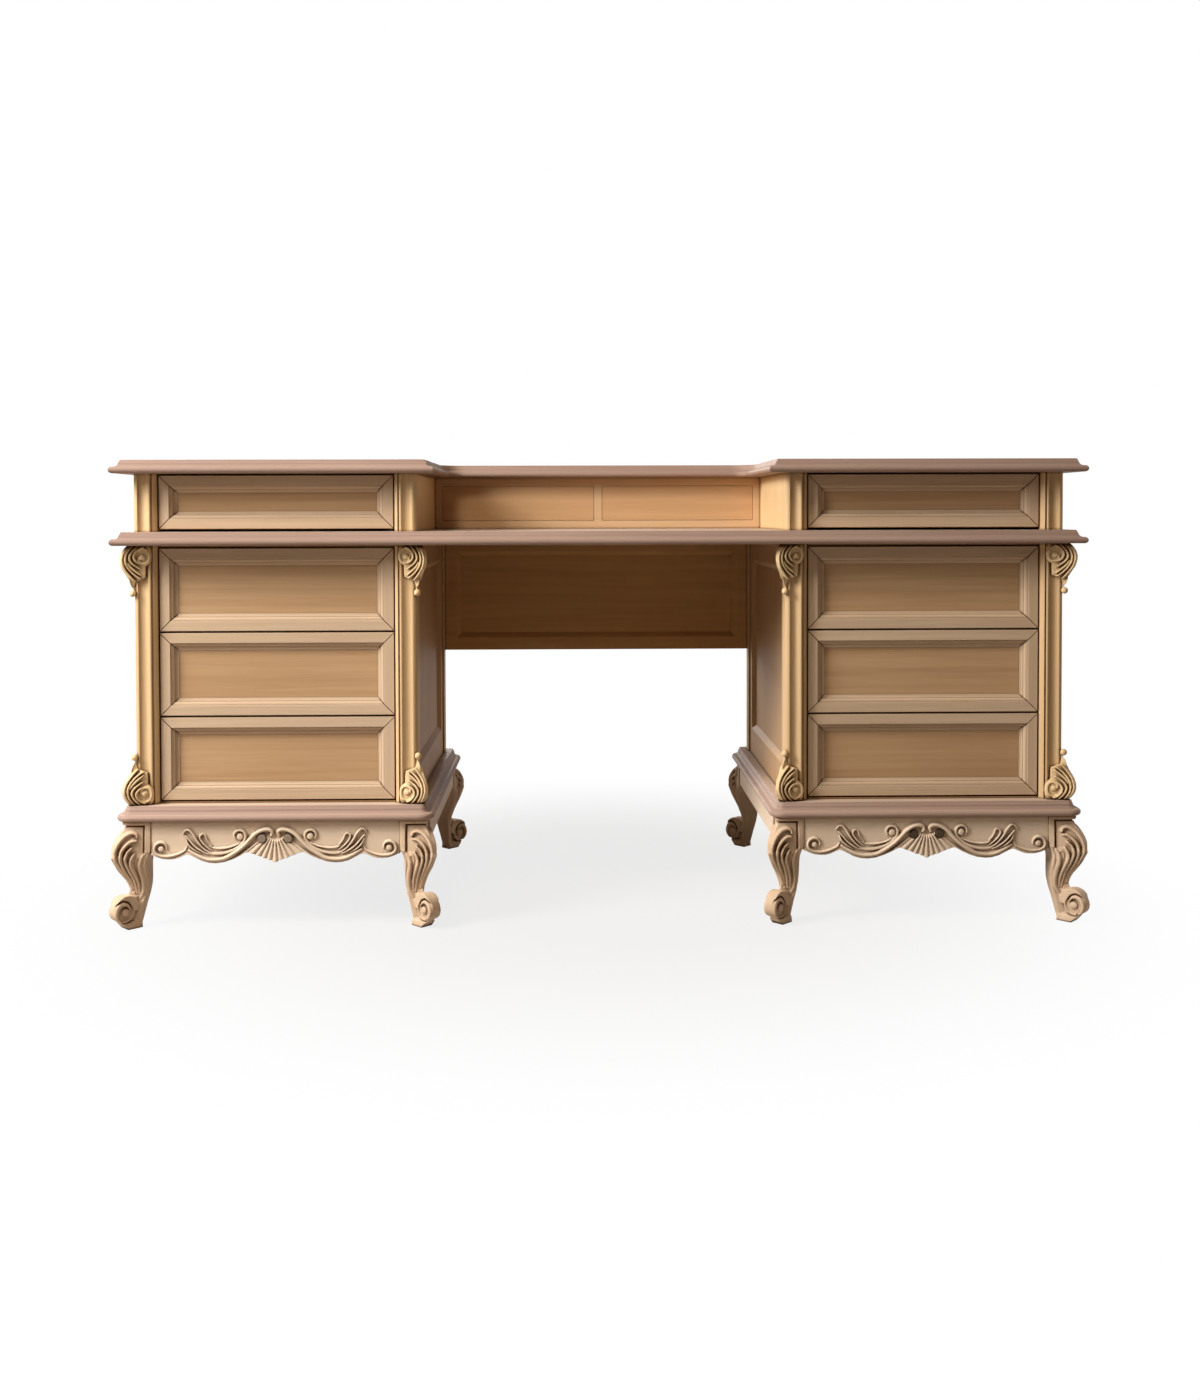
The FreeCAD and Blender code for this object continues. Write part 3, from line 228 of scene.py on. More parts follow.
def wood(name, colour, dark, axis, figure=0.5, crevice=0.006, groove_low=0.36, groove_high=0.94,
         arris=0.35, top=None):
    """Procedural wood with its grain along an axis: 0 for X, 1 for Y, 2 for Z.

    Its tone runs from colour to dark, and figure is the strength of the grain. Grooves narrower than
    crevice, in metres, darken with painted shade and some dust from groove_high to groove_low of open
    surroundings. Arris is the strength of the paler edges, partly wear and partly a painted highlight.
    Top is the tone of painted light on level faces, where it differs.
    """
    material = bpy.data.materials.new(name)
    material.use_nodes = True
    tree = material.node_tree
    shader = tree.nodes["Principled BSDF"]
    shader.inputs["Roughness"].default_value = WOOD_ROUGHNESS
    shader.inputs["Specular IOR Level"].default_value = WOOD_SHEEN
    place = tree.nodes.new("ShaderNodeTexCoord")

    def noise(across, along, detail, distortion=0.0):
        """Noise with so many waves in a metre across the grain and along it."""
        stretch = tree.nodes.new("ShaderNodeMapping")
        scale = [across] * 3
        scale[axis] = along
        stretch.inputs["Scale"].default_value = scale
        link(tree, place.outputs["Object"], stretch.inputs["Vector"])
        texture = tree.nodes.new("ShaderNodeTexNoise")
        texture.inputs["Scale"].default_value = 1.0
        texture.inputs["Detail"].default_value = detail
        texture.inputs["Roughness"].default_value = 0.6
        texture.inputs["Distortion"].default_value = distortion
        link(tree, stretch.outputs[0], texture.inputs["Vector"])
        return texture.outputs["Fac"]

    def ramp(source, low, high):
        """0 to 1 as the source runs from low to high."""
        spread = tree.nodes.new("ShaderNodeMapRange")
        spread.inputs["From Min"].default_value = low
        spread.inputs["From Max"].default_value = high
        link(tree, source, spread.inputs["Value"])
        return spread.outputs[0]

    def times(source, strength):
        product = tree.nodes.new("ShaderNodeMath")
        product.operation = "MULTIPLY"
        link(tree, source, product.inputs[0])
        product.inputs[1].default_value = strength
        return product.outputs[0]

    def mix(factor, first, second):
        """The first colour, or the second as far as the factor goes."""
        blend = tree.nodes.new("ShaderNodeMix")
        blend.data_type = "RGBA"
        for socket, value in ((0, factor), (6, first), (7, second)):
            if isinstance(value, tuple):
                blend.inputs[socket].default_value = value
            else:
                link(tree, value, blend.inputs[socket])
        return blend.outputs[2]

    fine = ramp(noise(across=420, along=9, detail=3), 0.35, 0.7)
    band = ramp(noise(across=60, along=1.6, detail=2, distortion=0.6), 0.38, 0.66)
    tone = ramp(noise(across=7, along=2.2, detail=1), 0.3, 0.7)
    deeper = tuple(0.55 * a + 0.45 * b for a, b in zip(colour, dark)) + (1.0,)
    base = mix(tone, tint(colour), deeper)
    streaks = times(band, figure)
    base = mix(streaks, base, tint(dark))
    fibres = times(fine, 0.35 * figure)
    base = mix(fibres, base, tint(dark, 0.8))
    if top:
        # Painted light: level faces, lit from above, are paler than the moulded edge
        facing = tree.nodes.new("ShaderNodeNewGeometry")
        parts = tree.nodes.new("ShaderNodeSeparateXYZ")
        link(tree, facing.outputs["Normal"], parts.inputs[0])
        painted_top_light = mix(streaks, tint(top), tint(top, 0.72))
        painted_top_light = mix(fibres, painted_top_light, tint(top, 0.5))
        base = mix(ramp(parts.outputs["Z"], TOP_FROM, TOP_TO), base, painted_top_light)
    # Painted shade, with some dust, darkens narrow grooves
    shade = tree.nodes.new("ShaderNodeAmbientOcclusion")
    shade.samples = 8
    shade.inputs["Distance"].default_value = crevice
    open_share = ramp(shade.outputs["AO"], groove_low, groove_high)
    dust_and_painted_shade = tuple(GROOVE_TONE * c * k for c, k in zip(dark, GROOVE_TINT)) + (1.0,)
    base = mix(open_share, dust_and_painted_shade, base)
    # Arrises are a little paler: partly wear, partly a painted highlight
    edge_wear_and_highlight = tree.nodes.new("ShaderNodeAmbientOcclusion")
    edge_wear_and_highlight.samples = 4
    edge_wear_and_highlight.inside = True
    edge_wear_and_highlight.inputs["Distance"].default_value = ARRIS_REACH
    edge = times(ramp(edge_wear_and_highlight.outputs["AO"], 0.80, 0.35), arris)
    rubbed_and_highlit = tuple(min(1.0, ARRIS_TONE * c) for c in colour) + (1.0,)
    base = mix(edge, base, rubbed_and_highlit)
    link(tree, base, shader.inputs["Base Color"])
    lift = tree.nodes.new("ShaderNodeBump")
    lift.inputs["Strength"].default_value = FIBRE_BUMP
    lift.inputs["Distance"].default_value = FIBRE_RELIEF
    link(tree, fine, lift.inputs["Height"])
    link(tree, lift.outputs[0], shader.inputs["Normal"])
    return material


def paint(thing, material):
    thing.data.materials.clear()
    thing.data.materials.append(material)


def shell(front, back):
    """Closed quads between two grids of points."""
    wide, tall = front.shape[:2]
    ids = np.arange(wide * tall).reshape(wide, tall)
    quads = np.stack([ids[:-1, :-1], ids[:-1, 1:], ids[1:, 1:], ids[1:, :-1]], -1).reshape(-1, 4)
    shift = wide * tall
    loop = np.concatenate([ids[:, 0], ids[-1, 1:], ids[-2::-1, -1], ids[0, -2:0:-1]])
    following = np.roll(loop, -1)
    rim = np.stack([loop, following, following + shift, loop + shift], -1)
    vertices = np.vstack([front.reshape(-1, 3), back.reshape(-1, 3)])
    return vertices, np.vstack([quads, quads[:, ::-1] + shift, rim])


# Section of a drawer bar in millimetres: places in from its outer edge and back from its face
BAR_SECTION = [
    (0, 4), (0.5, 1.2), (1.5, 0), (19.8, 0), (20.4, 0.5), (20.7, 2.0), (22.4, 2.1), (22.7, 3.1),
    (24.2, 3.6), (25.7, 4.7), (26.8, 6.4), (27.1, 7.9), (28.7, 8.1), (29.1, 9.2), (30.6, 10.4),
    (32.4, 10.9), (34, 11),
]
BAR_THICKNESS = 22
MITRE_GROOVE = 1.1
GROOVE_DEPTH = 2.5 * MITRE_GROOVE
JOINT_GAP = 0.05
# Rows across a bar: which end, how far short of the mitre, and how far sunk into the groove there
BAR_ROWS = [
    (-1, JOINT_GAP, GROOVE_DEPTH), (-1, MITRE_GROOVE, 0), (1, MITRE_GROOVE, 0), (1, JOINT_GAP, GROOVE_DEPTH),
]


def mitred_frame(name, node, body, along_x, along_z):
    """Four mitred bars with a fine groove at each joint, in the place of a drawer's CAD frame."""
    low, high = (np.array(corner) * 1000 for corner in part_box(node))
    wide, tall = high[0] - low[0], high[2] - low[2]
    section = np.array(BAR_SECTION, float)
    middle = np.array([(low[0] + high[0]) / 2, low[1], (low[2] + high[2]) / 2])
    thickness = np.full(len(section), float(BAR_THICKNESS))
    groups = []
    for turn, (length, rise) in enumerate(((wide, tall), (tall, wide), (wide, tall), (tall, wide))):
        up = section[:, 0] - rise / 2
        rows, behind = [], []
        for end, inset, sunk in BAR_ROWS:
            along = end * (length / 2 - section[:, 0] - inset)
            rows.append(np.stack([along, section[:, 1] + sunk, up], -1))
            behind.append(np.stack([along, thickness, up], -1))
        vertices, faces = shell(np.array(rows), np.array(behind))
        angle = turn * math.pi / 2
        x = vertices[:, 0] * math.cos(angle) - vertices[:, 2] * math.sin(angle)
        z = vertices[:, 0] * math.sin(angle) + vertices[:, 2] * math.cos(angle)
        groups.append((np.stack([x, vertices[:, 1], z], -1), faces))
    vertices = np.vstack([group[0] for group in groups])
    count = len(groups[0][0])
    faces = np.vstack([group[1] + index * count for index, group in enumerate(groups)])
    thing = add_object(name, (vertices + middle) / 1000, faces)
    thing.data.materials.append(along_x)
    thing.data.materials.append(along_z)
    per_bar = len(groups[0][1])
    thing.data.polygons.foreach_set("material_index", np.repeat([0, 1, 0, 1], per_bar).astype(np.int32))
    thing.data.polygons.foreach_set("use_smooth", np.zeros(4 * per_bar, bool))
    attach(thing, body)
    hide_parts(node)


# Carving: heights in millimetres over a face, drawn as strokes
LINE_STEPS = 5


def smooth_line(points):
    """Catmull-Rom points through the given ones."""
    points = np.asarray(points, float)
    padded = np.vstack([2 * points[0] - points[1], points, 2 * points[-1] - points[-2]])
    t = np.linspace(0, 1, LINE_STEPS, endpoint=False)[:, None]
    spans = []
    for a, b, c, d in zip(padded[:-3], padded[1:-2], padded[2:-1], padded[3:]):
        bend = (2 * a - 5 * b + 4 * c - d) * t**2
        twist = (3 * b - a - 3 * c + d) * t**3
        spans.append(0.5 * (2 * b + (c - a) * t + bend + twist))
    return np.vstack(spans + [points[-1:]])


def nearest(across, up, line):
    """Distance of each place to a line, and how far along it the nearest point lies, from 0 to 1."""
    gap = np.full(across.shape, np.inf)
    share = np.zeros(across.shape)
    count = len(line) - 1
    for index, (start, stop) in enumerate(zip(line[:-1], line[1:])):
        lead = stop - start
        length = max(lead @ lead, 1e-9)
        t = np.clip(((across - start[0]) * lead[0] + (up - start[1]) * lead[1]) / length, 0, 1)
        away = (across - start[0] - t * lead[0]) ** 2 + (up - start[1] - t * lead[1]) ** 2
        closer = away < gap
        gap = np.where(closer, away, gap)
        share = np.where(closer, (index + t) / count, share)
    return np.sqrt(gap), share


def evenly(share, values):
    """The value at a share of the way through evenly spaced ones."""
    return np.interp(share, np.linspace(0, 1, len(values)), values)


def dome(share, sharp):
    """A hump: 1 in its middle, 0 from a share of 1 outwards, and steeper at its rim where sharp is small."""
    return np.clip(1 - share**2, 0, 1) ** sharp


def ease(value, start, run):
    """0 before the start, 1 after the run, and straight between."""
    return np.clip((value - start) / run, 0, 1)


def stroke(across, up, shape, sharp):
    """Height of a rounded band, whose half widths and heights run evenly along its line."""
    half_widths, heights, points = shape
    gap, share = nearest(across, up, smooth_line(points))
    return evenly(share, heights) * dome(gap / evenly(share, half_widths), sharp)


def disc(across, up, centre, radius, height):
    """Height of a round button with a nearly flat face."""
    gap = np.hypot(across - centre[0], up - centre[1]) / radius
    return height * np.clip(1 - gap**4, 0, 1) ** 0.7


def soft_max(first, second, width):
    """The larger of two, with a fillet where they cross."""
    blend = np.clip(width - np.abs(first - second), 0, None)
    return np.maximum(first, second) + blend**2 / (4 * width)


def soft_min(first, second, width):
    """The smaller of two, with a fillet where they cross."""
    return -soft_max(-first, -second, width)


def table(rows, place):
    """The value at a place in a table of places and values."""
    rows = np.array(rows, float)
    return np.interp(place, rows[:, 0], rows[:, 1])


# A field closer to zero than this at a grid point would bring corners together
LEAST_FIELD = 0.02


def surface(field, corner, step):
    """Closed quads round the places where the field is below zero."""
    field = np.where(np.abs(field) < LEAST_FIELD, LEAST_FIELD, field)
    inside = field < 0
    spots, cells, quads = [], [], []
    size = np.array(field.shape) - 1
    stride = np.array([size[1] * size[2], size[2], 1])
    units = np.eye(3, dtype=int)
    for axis in range(3):
        unit = units[axis]
        low = inside[tuple(slice(None, -1) if k == axis else slice(None) for k in range(3))]
        high = inside[tuple(slice(1, None) if k == axis else slice(None) for k in range(3))]
        where = np.argwhere(low != high)
        near = field[tuple(where.T)]
        far = field[tuple((where + unit).T)]
        point = where + (near / (near - far))[:, None] * unit
        one, two = units[(axis + 1) % 3], units[(axis + 2) % 3]
        around = np.stack([where, where - one, where - one - two, where - two], 1)
        ids = around @ stride
        flipped = near >= 0
        ids[flipped] = ids[flipped][:, ::-1]
        quads.append(ids)
        spots.append(np.repeat(point, 4, 0))
        cells.append((around @ stride).ravel())
    cells = np.concatenate(cells)
    spots = np.concatenate(spots)
    names, inverse, counts = np.unique(cells, return_inverse=True, return_counts=True)
    places = np.stack([np.bincount(inverse, spots[:, k]) / counts for k in range(3)], 1)
    faces = np.searchsorted(names, np.concatenate(quads))
    return places * step + np.asarray(corner), faces


def evened(field, where):
    """The field averaged with its neighbours on each level, where asked: it evens the meeting of faces."""
    smooth = field.copy()
    for axis in (0, 1):
        inner = [slice(None)] * 3
        inner[axis] = slice(1, -1)
        before, after = list(inner), list(inner)
        before[axis], after[axis] = slice(None, -2), slice(2, None)
        beside = smooth[tuple(before)] + smooth[tuple(after)]
        spread = smooth.copy()
        spread[tuple(inner)] = 0.5 * smooth[tuple(inner)] + 0.25 * beside
        smooth = spread
    return np.where(where, smooth, field)


def corner_grid(sides):
    """Both places of each point of a square grid round a corner, and the index of the larger one."""
    index = np.arange(len(sides))
    x, y = np.meshgrid(sides, sides, indexing="ij")
    return x[:, :, None], y[:, :, None], np.maximum(index[:, None], index[None, :])


# Places of the carvings, in millimetres, from the right pedestal's posts. The left side mirrors it.
post_low, post_high = (np.round(np.array(corner) * 1000, 2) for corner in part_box("right_pedestal_posts"))
POST_CORNERS = {"outer": post_high[0], "inner": post_low[0]}
POST_FRONT = post_low[1]
POST_MIDDLE = (POST_CORNERS["outer"] + POST_CORNERS["inner"]) / 2
# A leg's square block, up to the plinth, stands outside the post above it
BLOCK_TOP = round(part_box("right_plinth_board")[0][2] * 1000, 2)
BLOCK_SIDE = 54
BLOCK_STEP = 21
BLOCK_CORNERS = {
    "outer": POST_CORNERS["outer"] + BLOCK_STEP,
    "inner": POST_CORNERS["inner"] - BLOCK_STEP,
}
BLOCK_FRONT = POST_FRONT - BLOCK_STEP

# Leg tables: height above the floor, then the place of a line from the outer corner of the block.
# LOW is the outline, INNER the depth of the face at its inner side, HIGH that inner side
LEG_LOW = [
    (0, 10), (20, 8), (40, 8.5), (60, 9), (71, 9.5), (81, 8), (93, 4), (106, -2), (118, -8), (130, -12),
    (140, -15.5), (150, -17.5), (160, -17), (168, -14.5), (177, -10.5), (186, -5.5), (193, -2), (199, 0),
    (209, 0),
]
LEG_INNER = [(0, 14), (40, 14), (60, 13), (75, 12), (95, 7), (110, 2), (125, -1), (150, 0), (209, 0)]
LEG_HIGH = [
    (0, 28), (6, 29), (21, 32.4), (42, 37), (62, 42), (78, 44.8), (92, 45.5), (122, 45.5), (133, 46.5),
    (141, 49), (150, 53.5), (160, 54), (209, 54),
]
# Leaf tongues on a leg's face: half widths and heights, then places across and up
LEG_TONGUES = [
    ((3.0, 4.6, 5.0, 4.4, 2.8), (4.6, 5.0, 4.6, 3.8, 1.6),
     [(30, 178), (28, 183.5), (21, 186.5), (12, 184), (3, 177), (-4, 167), (-8.5, 156), (-10, 146),
      (-8, 132), (1.5, 111), (10, 92), (15.5, 74)]),
    ((2.8, 4.4, 4.8, 4.0, 2.4), (5.0, 5.4, 4.8, 3.8, 1.4),
     [(28, 171.5), (19, 170.5), (9.5, 163), (2.5, 152.5), (0.5, 142), (1.5, 128.5), (7.5, 110),
      (14.5, 93), (18.5, 76)]),
    ((2.6, 4.2, 4.4, 3.6, 2.2), (5.4, 5.4, 4.6, 3.4, 1.2),
     [(20, 158), (13, 150.5), (9, 138), (10.5, 126.5), (16, 109.5), (21, 92.5), (23.5, 76.5), (25, 66)]),
    ((3.0, 4.6, 4.8, 3.8, 2.4), (4.8, 5.2, 4.6, 3.4, 1.2),
     [(24.5, 146), (19, 135), (18.5, 124.5), (23, 109.5), (27.5, 92.5), (29, 78), (29, 66)]),
    ((3.4, 5.0, 5.4, 5.0, 3.4), (2.2, 3.4, 3.6, 3.0, 1.0),
     [(40, 143), (35, 131), (33.5, 118.5), (36, 102), (37.5, 85.5), (36, 69.5), (29.5, 56)]),
]
LEG_SPINE = (
    (2.4, 3.2, 3.4, 3.2, 2.2), (1.6, 2.6, 2.8, 2.6, 1.2),
    [(0, 198), (-4.5, 188), (-10.5, 177), (-15, 168), (-17.5, 159), (-18, 150), (-16, 140), (-11.5, 129),
     (-5.5, 114), (1, 100), (6, 84)],
)
# The rim where the knee meets the inner side of the block
LEG_RIM = ((3.0, 3.4, 3.0), (0, 1.2, 1.6), [(54, 146), (47.5, 148.5), (39.5, 145), (33, 139)])
RIM_SHARP = 0.7
# How the face falls back from its outline to its inner side
LEG_HOLLOW = 1.2
LEAF_LIFT = 1.35
LEAF_SHARP = 0.9
# A bed sunk round the leaf
BED_MARGIN = 2.5
BED_DEPTH = 1.8
BED_SHARP = 0.6
# A field sunk into the block, with a deeper line along its border
FIELD_TOP = 200.5
FIELD_SIDE = 43.5
FIELD_FOOT = 140
FIELD_FADE = 8
FIELD_SLOPE = 1.2
FIELD_DEPTH = 4.0
LINE_PLACE = 2.2
LINE_DEPTH = 2.5
# The field's slanting lower border, over the leaf: a place across and up, the direction away from the
# leaf, and how far beyond that place the border runs
SLANT_PLACE = (41, 151)
SLANT_ACROSS, SLANT_UP = 0.66, 0.75
SLANT_BEYOND = 5


def leg_face(across, up):
    """How far behind the block's face a leg's carved face stands."""
    low, inner, high = (table(rows, up) for rows in (LEG_LOW, LEG_INNER, LEG_HIGH))
    face = low + (inner - low) * ease(across, low, high - low) ** LEG_HOLLOW
    leaf = np.zeros(across.shape)
    bed = np.zeros(across.shape)
    for half_widths, heights, points in LEG_TONGUES + [LEG_SPINE]:
        tongue = stroke(across, up, (half_widths, heights, points), LEAF_SHARP)
        leaf = np.maximum(leaf, LEAF_LIFT * tongue)
        wider = [half + BED_MARGIN for half in half_widths]
        level = [1] * len(heights)
        bed = np.maximum(bed, stroke(across, up, (wider, level, points), BED_SHARP))
    face = face + BED_DEPTH * bed
    # The field stops short of the block's top, its inner side and the slanting border
    over_leaf = SLANT_UP * (up - SLANT_PLACE[1]) + SLANT_ACROSS * (SLANT_PLACE[0] - across) + SLANT_BEYOND
    border = np.minimum.reduce([FIELD_TOP - up, FIELD_SIDE - across, over_leaf])
    field = ease(border, 0, FIELD_SLOPE) * ease(up, FIELD_FOOT, FIELD_FADE)
    face = face + np.maximum(FIELD_DEPTH - BED_DEPTH * bed, 0) * field
    face = face + LINE_DEPTH * field * np.clip(1 - np.abs(border - LINE_PLACE) / LINE_PLACE, 0, 1)
    return face - np.maximum(leaf, stroke(across, up, LEG_RIM, RIM_SHARP))


# The scroll at the foot of a leg: places out along the block's diagonal, then up
EYE_OUT, EYE_UP = 38.7, 34.7
EYE_RADIUS = 8.4
# Its radius by the angle above straight out, in radians
SCROLL_RADIUS = [
    (-math.pi, 19), (-1.7, 19.5), (-0.6, 21.5), (0.6, 25), (1.57, 31), (2.3, 33), (math.pi, 24),
]
# The raised band round its eye, out from the eye and up, and the band's half widths along it
SCROLL_LINE = [(10, -17), (17, -9.5), (18.5, 1), (14.5, 11.5), (5.5, 16.5), (-3.5, 13.5), (-8.5, 6)]
SCROLL_HALF = (1.6, 3.4, 4.4, 4.6, 4.4, 3.2, 1.8)
SCROLL_THICK = 8.6
SCROLL_FILLET = 1.6
BAND_HEIGHT = 5.5
# Its outer rim starts outside the band, and only from some radius on
RIM_HEIGHT = 4.0
RIM_GAP = 1.8
RIM_SLOPE = 1.6
RIM_FROM = 15
RIM_FADE = 2
# The foot under the scroll tapers down to a small pad
FOOT_TOP = 26
FOOT_REACH = 34.2
FOOT_FLARE = 0.95
FOOT_BACK = 3.2
FOOT_HALF = 14
FOOT_TAPER = 0.1
FOOT_FILLET = 4
NECK_FOOT = 11
NECK_RISE = 6
NECK_DEPTH = 6
# The arris between a leg's face and its inner side is round at the ankle and sharp at the block
INNER_FILLET = 5.0
SHARP_UP = 150
SHARP_RUN = 20
SHARP_LEAST = 0.12
# The grid that a leg is cut from: its places across, and how near its two faces are evened
LEG_STEP = 1.1
LEG_SIDES = (-30, 58)
LEG_BOTTOM = 6
LEG_BLEND = 6
LEG_EVENED = 8


def leg_solid(step):
    """A leg with the outer front corner of its block at the origin, in millimetres."""
    sides = np.arange(*LEG_SIDES, step)
    heights = np.arange(-2 * step, BLOCK_TOP + 2.5 * step, step)
    face = leg_face(*np.meshgrid(sides, heights, indexing="ij"))
    x, y, larger = corner_grid(sides)
    up = heights[None, None, :]
    high = table(LEG_HIGH, heights)[None, None, :]
    fillet = INNER_FILLET * np.clip((SHARP_UP - up) / SHARP_RUN, SHARP_LEAST, 1)
    body = soft_max(face[larger] - np.minimum(x, y), np.maximum(x, y) - high, fillet)
    body = np.maximum(body, np.maximum(LEG_BOTTOM - up, up - BLOCK_TOP))
    # The scroll, in the plane of the block's diagonal: out from its middle, and across
    out = (BLOCK_SIDE - x - y) / math.sqrt(2)
    across = np.abs(x - y) / math.sqrt(2)
    beside, above = out - EYE_OUT, up - EYE_UP
    radius = np.hypot(beside, above)
    roll = radius - table(SCROLL_RADIUS, np.arctan2(above, beside))
    gap, share = nearest(beside, above, smooth_line(SCROLL_LINE))
    half = evenly(share, SCROLL_HALF)
    band = BAND_HEIGHT * dome(gap / half, 0.4)
    eye = BAND_HEIGHT * dome(radius / EYE_RADIUS, 0.5)
    rim = RIM_HEIGHT * ease(gap - half, RIM_GAP, RIM_SLOPE) * ease(radius, RIM_FROM, RIM_FADE)
    thick = SCROLL_THICK + np.maximum(np.maximum(band, eye), rim)
    scroll = soft_max(roll, across - thick, SCROLL_FILLET)
    foot_half = FOOT_HALF - FOOT_TAPER * up - NECK_DEPTH * ease(up, NECK_FOOT, NECK_RISE)
    foot_side = np.maximum(out - (FOOT_REACH + FOOT_FLARE * up), FOOT_BACK - out)
    foot = soft_max(foot_side, across - foot_half, FOOT_FILLET)
    foot = np.maximum(foot, np.maximum(-up, up - FOOT_TOP))
    whole = np.minimum(soft_min(body, scroll, LEG_BLEND), foot)
    whole = evened(whole, np.abs(x - y) < LEG_EVENED)
    return surface(whole.astype(np.float32), (sides[0], sides[0], heights[0]), step)


# Bracket tables: height above its foot, then the place of a line from the outer corner of the post
BRACKET_LOW = [
    (0, -9), (6, -14), (14, -18), (24, -19.5), (34, -18.5), (44, -16), (52, -12), (58, -9.5), (66, -7.5),
    (78, -6.5), (84, -4.5), (89, -6), (95, -9), (101, -7),
]
BRACKET_HIGH = [
    (0, 31), (8, 34), (20, 35), (30, 34), (36, 29), (40, 24), (52, 24), (62, 23), (66, 12), (69, 5),
    (78, 2.5), (84, 2), (90, 4), (95, 5), (101, 3),
]
# Depth of its face at the inner side
BRACKET_REST = [(0, -6.5), (60, -5), (72, -3), (101, -2)]
RIDGE_HALF = (1.8, 2.8, 3.1, 2.8, 2.2)
RIDGE_HEIGHT = (5.4, 5.6, 5.4, 5, 4)
BRACKET_RIDGES = [
    [(8, 70), (2.5, 66), (-6.5, 54.5), (-12.5, 44.5), (-15.5, 34.5), (-16, 24.5), (-13.5, 15.5), (-8, 5),
     (-5, 0)],
    [(21, 67.5), (14, 63.5), (2.5, 54), (-5.5, 43.5), (-9.5, 34), (-10, 24), (-7.5, 14), (-1.5, 3), (0, 0)],
    [(16, 57), (7.5, 50), (-1, 41.5), (-5.5, 34)],
    [(15.5, 45), (9, 40.5), (1.5, 34), (-2.5, 26.5), (-2, 19.5), (2, 12), (9.5, 2), (12, 0)],
    [(15, 34.5), (9.5, 31), (5.5, 25), (5, 20), (7.5, 13.5), (14, 6), (20, 3.5)],
]
BRACKET_RING = (
    (2.8, 3.2, 3.2, 3.0, 2.6), (2.6, 3.2, 3, 2.6, 2),
    [(13, 24), (14, 31), (20, 34.5), (27.5, 33), (31.5, 26), (31.5, 17), (27, 9), (19, 6), (13, 9)],
)
BRACKET_TAIL = ((2.2, 2.4, 1.8), (2, 2, 1), [(-9, 60), (-6, 70), (-3, 79)])
TAIL_SHARP = 0.7
BRACKET_SHARP = 0.6
BRACKET_EYE = (19.5, 22.5)
BRACKET_EYE_RADIUS = 6.4
BRACKET_EYE_HEIGHT = 4.0
BRACKET_HOLLOW = 1.1
# The ground between the ridges lies a little deeper
RIDGE_GROUND = 2.0
BRACKET_TOP = 86
# What stays of the bracket behind the face of the post's corner
BRACKET_WALL = 7
BRACKET_FILLET = 2.5
# The grid that a bracket is cut from: its places across and up, and how near its two faces are evened
BRACKET_STEP = 0.9
BRACKET_SIDES = (-26, 40)
BRACKET_HEIGHT = 100
BRACKET_EVENED = 5
# The ball on its tip
BALL_SHIFT = 1.6
BALL_UP = 92
BALL_RADIUS = 6.6


def bracket_solid(step):
    """A bracket on a post's foot, with the outer front corner of the post at the origin, in millimetres."""
    sides = np.arange(*BRACKET_SIDES, step)
    heights = np.arange(-2 * step, BRACKET_HEIGHT + 2.5 * step, step)
    across, up = np.meshgrid(sides, heights, indexing="ij")
    low, high = table(BRACKET_LOW, up), table(BRACKET_HIGH, up)
    share = ease(across, low, high - low) ** BRACKET_HOLLOW
    face = low + (table(BRACKET_REST, up) - low) * share
    raised = np.zeros(across.shape)
    for points in BRACKET_RIDGES:
        raised = np.maximum(raised, stroke(across, up, (RIDGE_HALF, RIDGE_HEIGHT, points), BRACKET_SHARP))
    radius = np.hypot(across - BRACKET_EYE[0], up - BRACKET_EYE[1])
    eye = BRACKET_EYE_HEIGHT * dome(radius / BRACKET_EYE_RADIUS, BRACKET_SHARP)
    ring = stroke(across, up, BRACKET_RING, BRACKET_SHARP)
    tail = stroke(across, up, BRACKET_TAIL, TAIL_SHARP)
    raised = np.maximum.reduce([raised, eye, ring, tail])
    face = face + RIDGE_GROUND - raised
    x, y, larger = corner_grid(sides)
    near = np.minimum(x, y)
    inner_side = np.maximum(x, y) - high[0][None, None, :]
    body = soft_max(face[larger] - near, inner_side, BRACKET_FILLET)
    body = np.maximum(body, near - BRACKET_WALL)
    z = heights[None, None, :]
    body = np.maximum(body, np.maximum(-z, z - BRACKET_TOP))
    ball = np.sqrt((x + BALL_SHIFT) ** 2 + (y + BALL_SHIFT) ** 2 + (z - BALL_UP) ** 2) - BALL_RADIUS
    whole = evened(np.minimum(body, ball), np.abs(x - y) < BRACKET_EVENED)
    return surface(whole.astype(np.float32), (sides[0], sides[0], heights[0]), step)


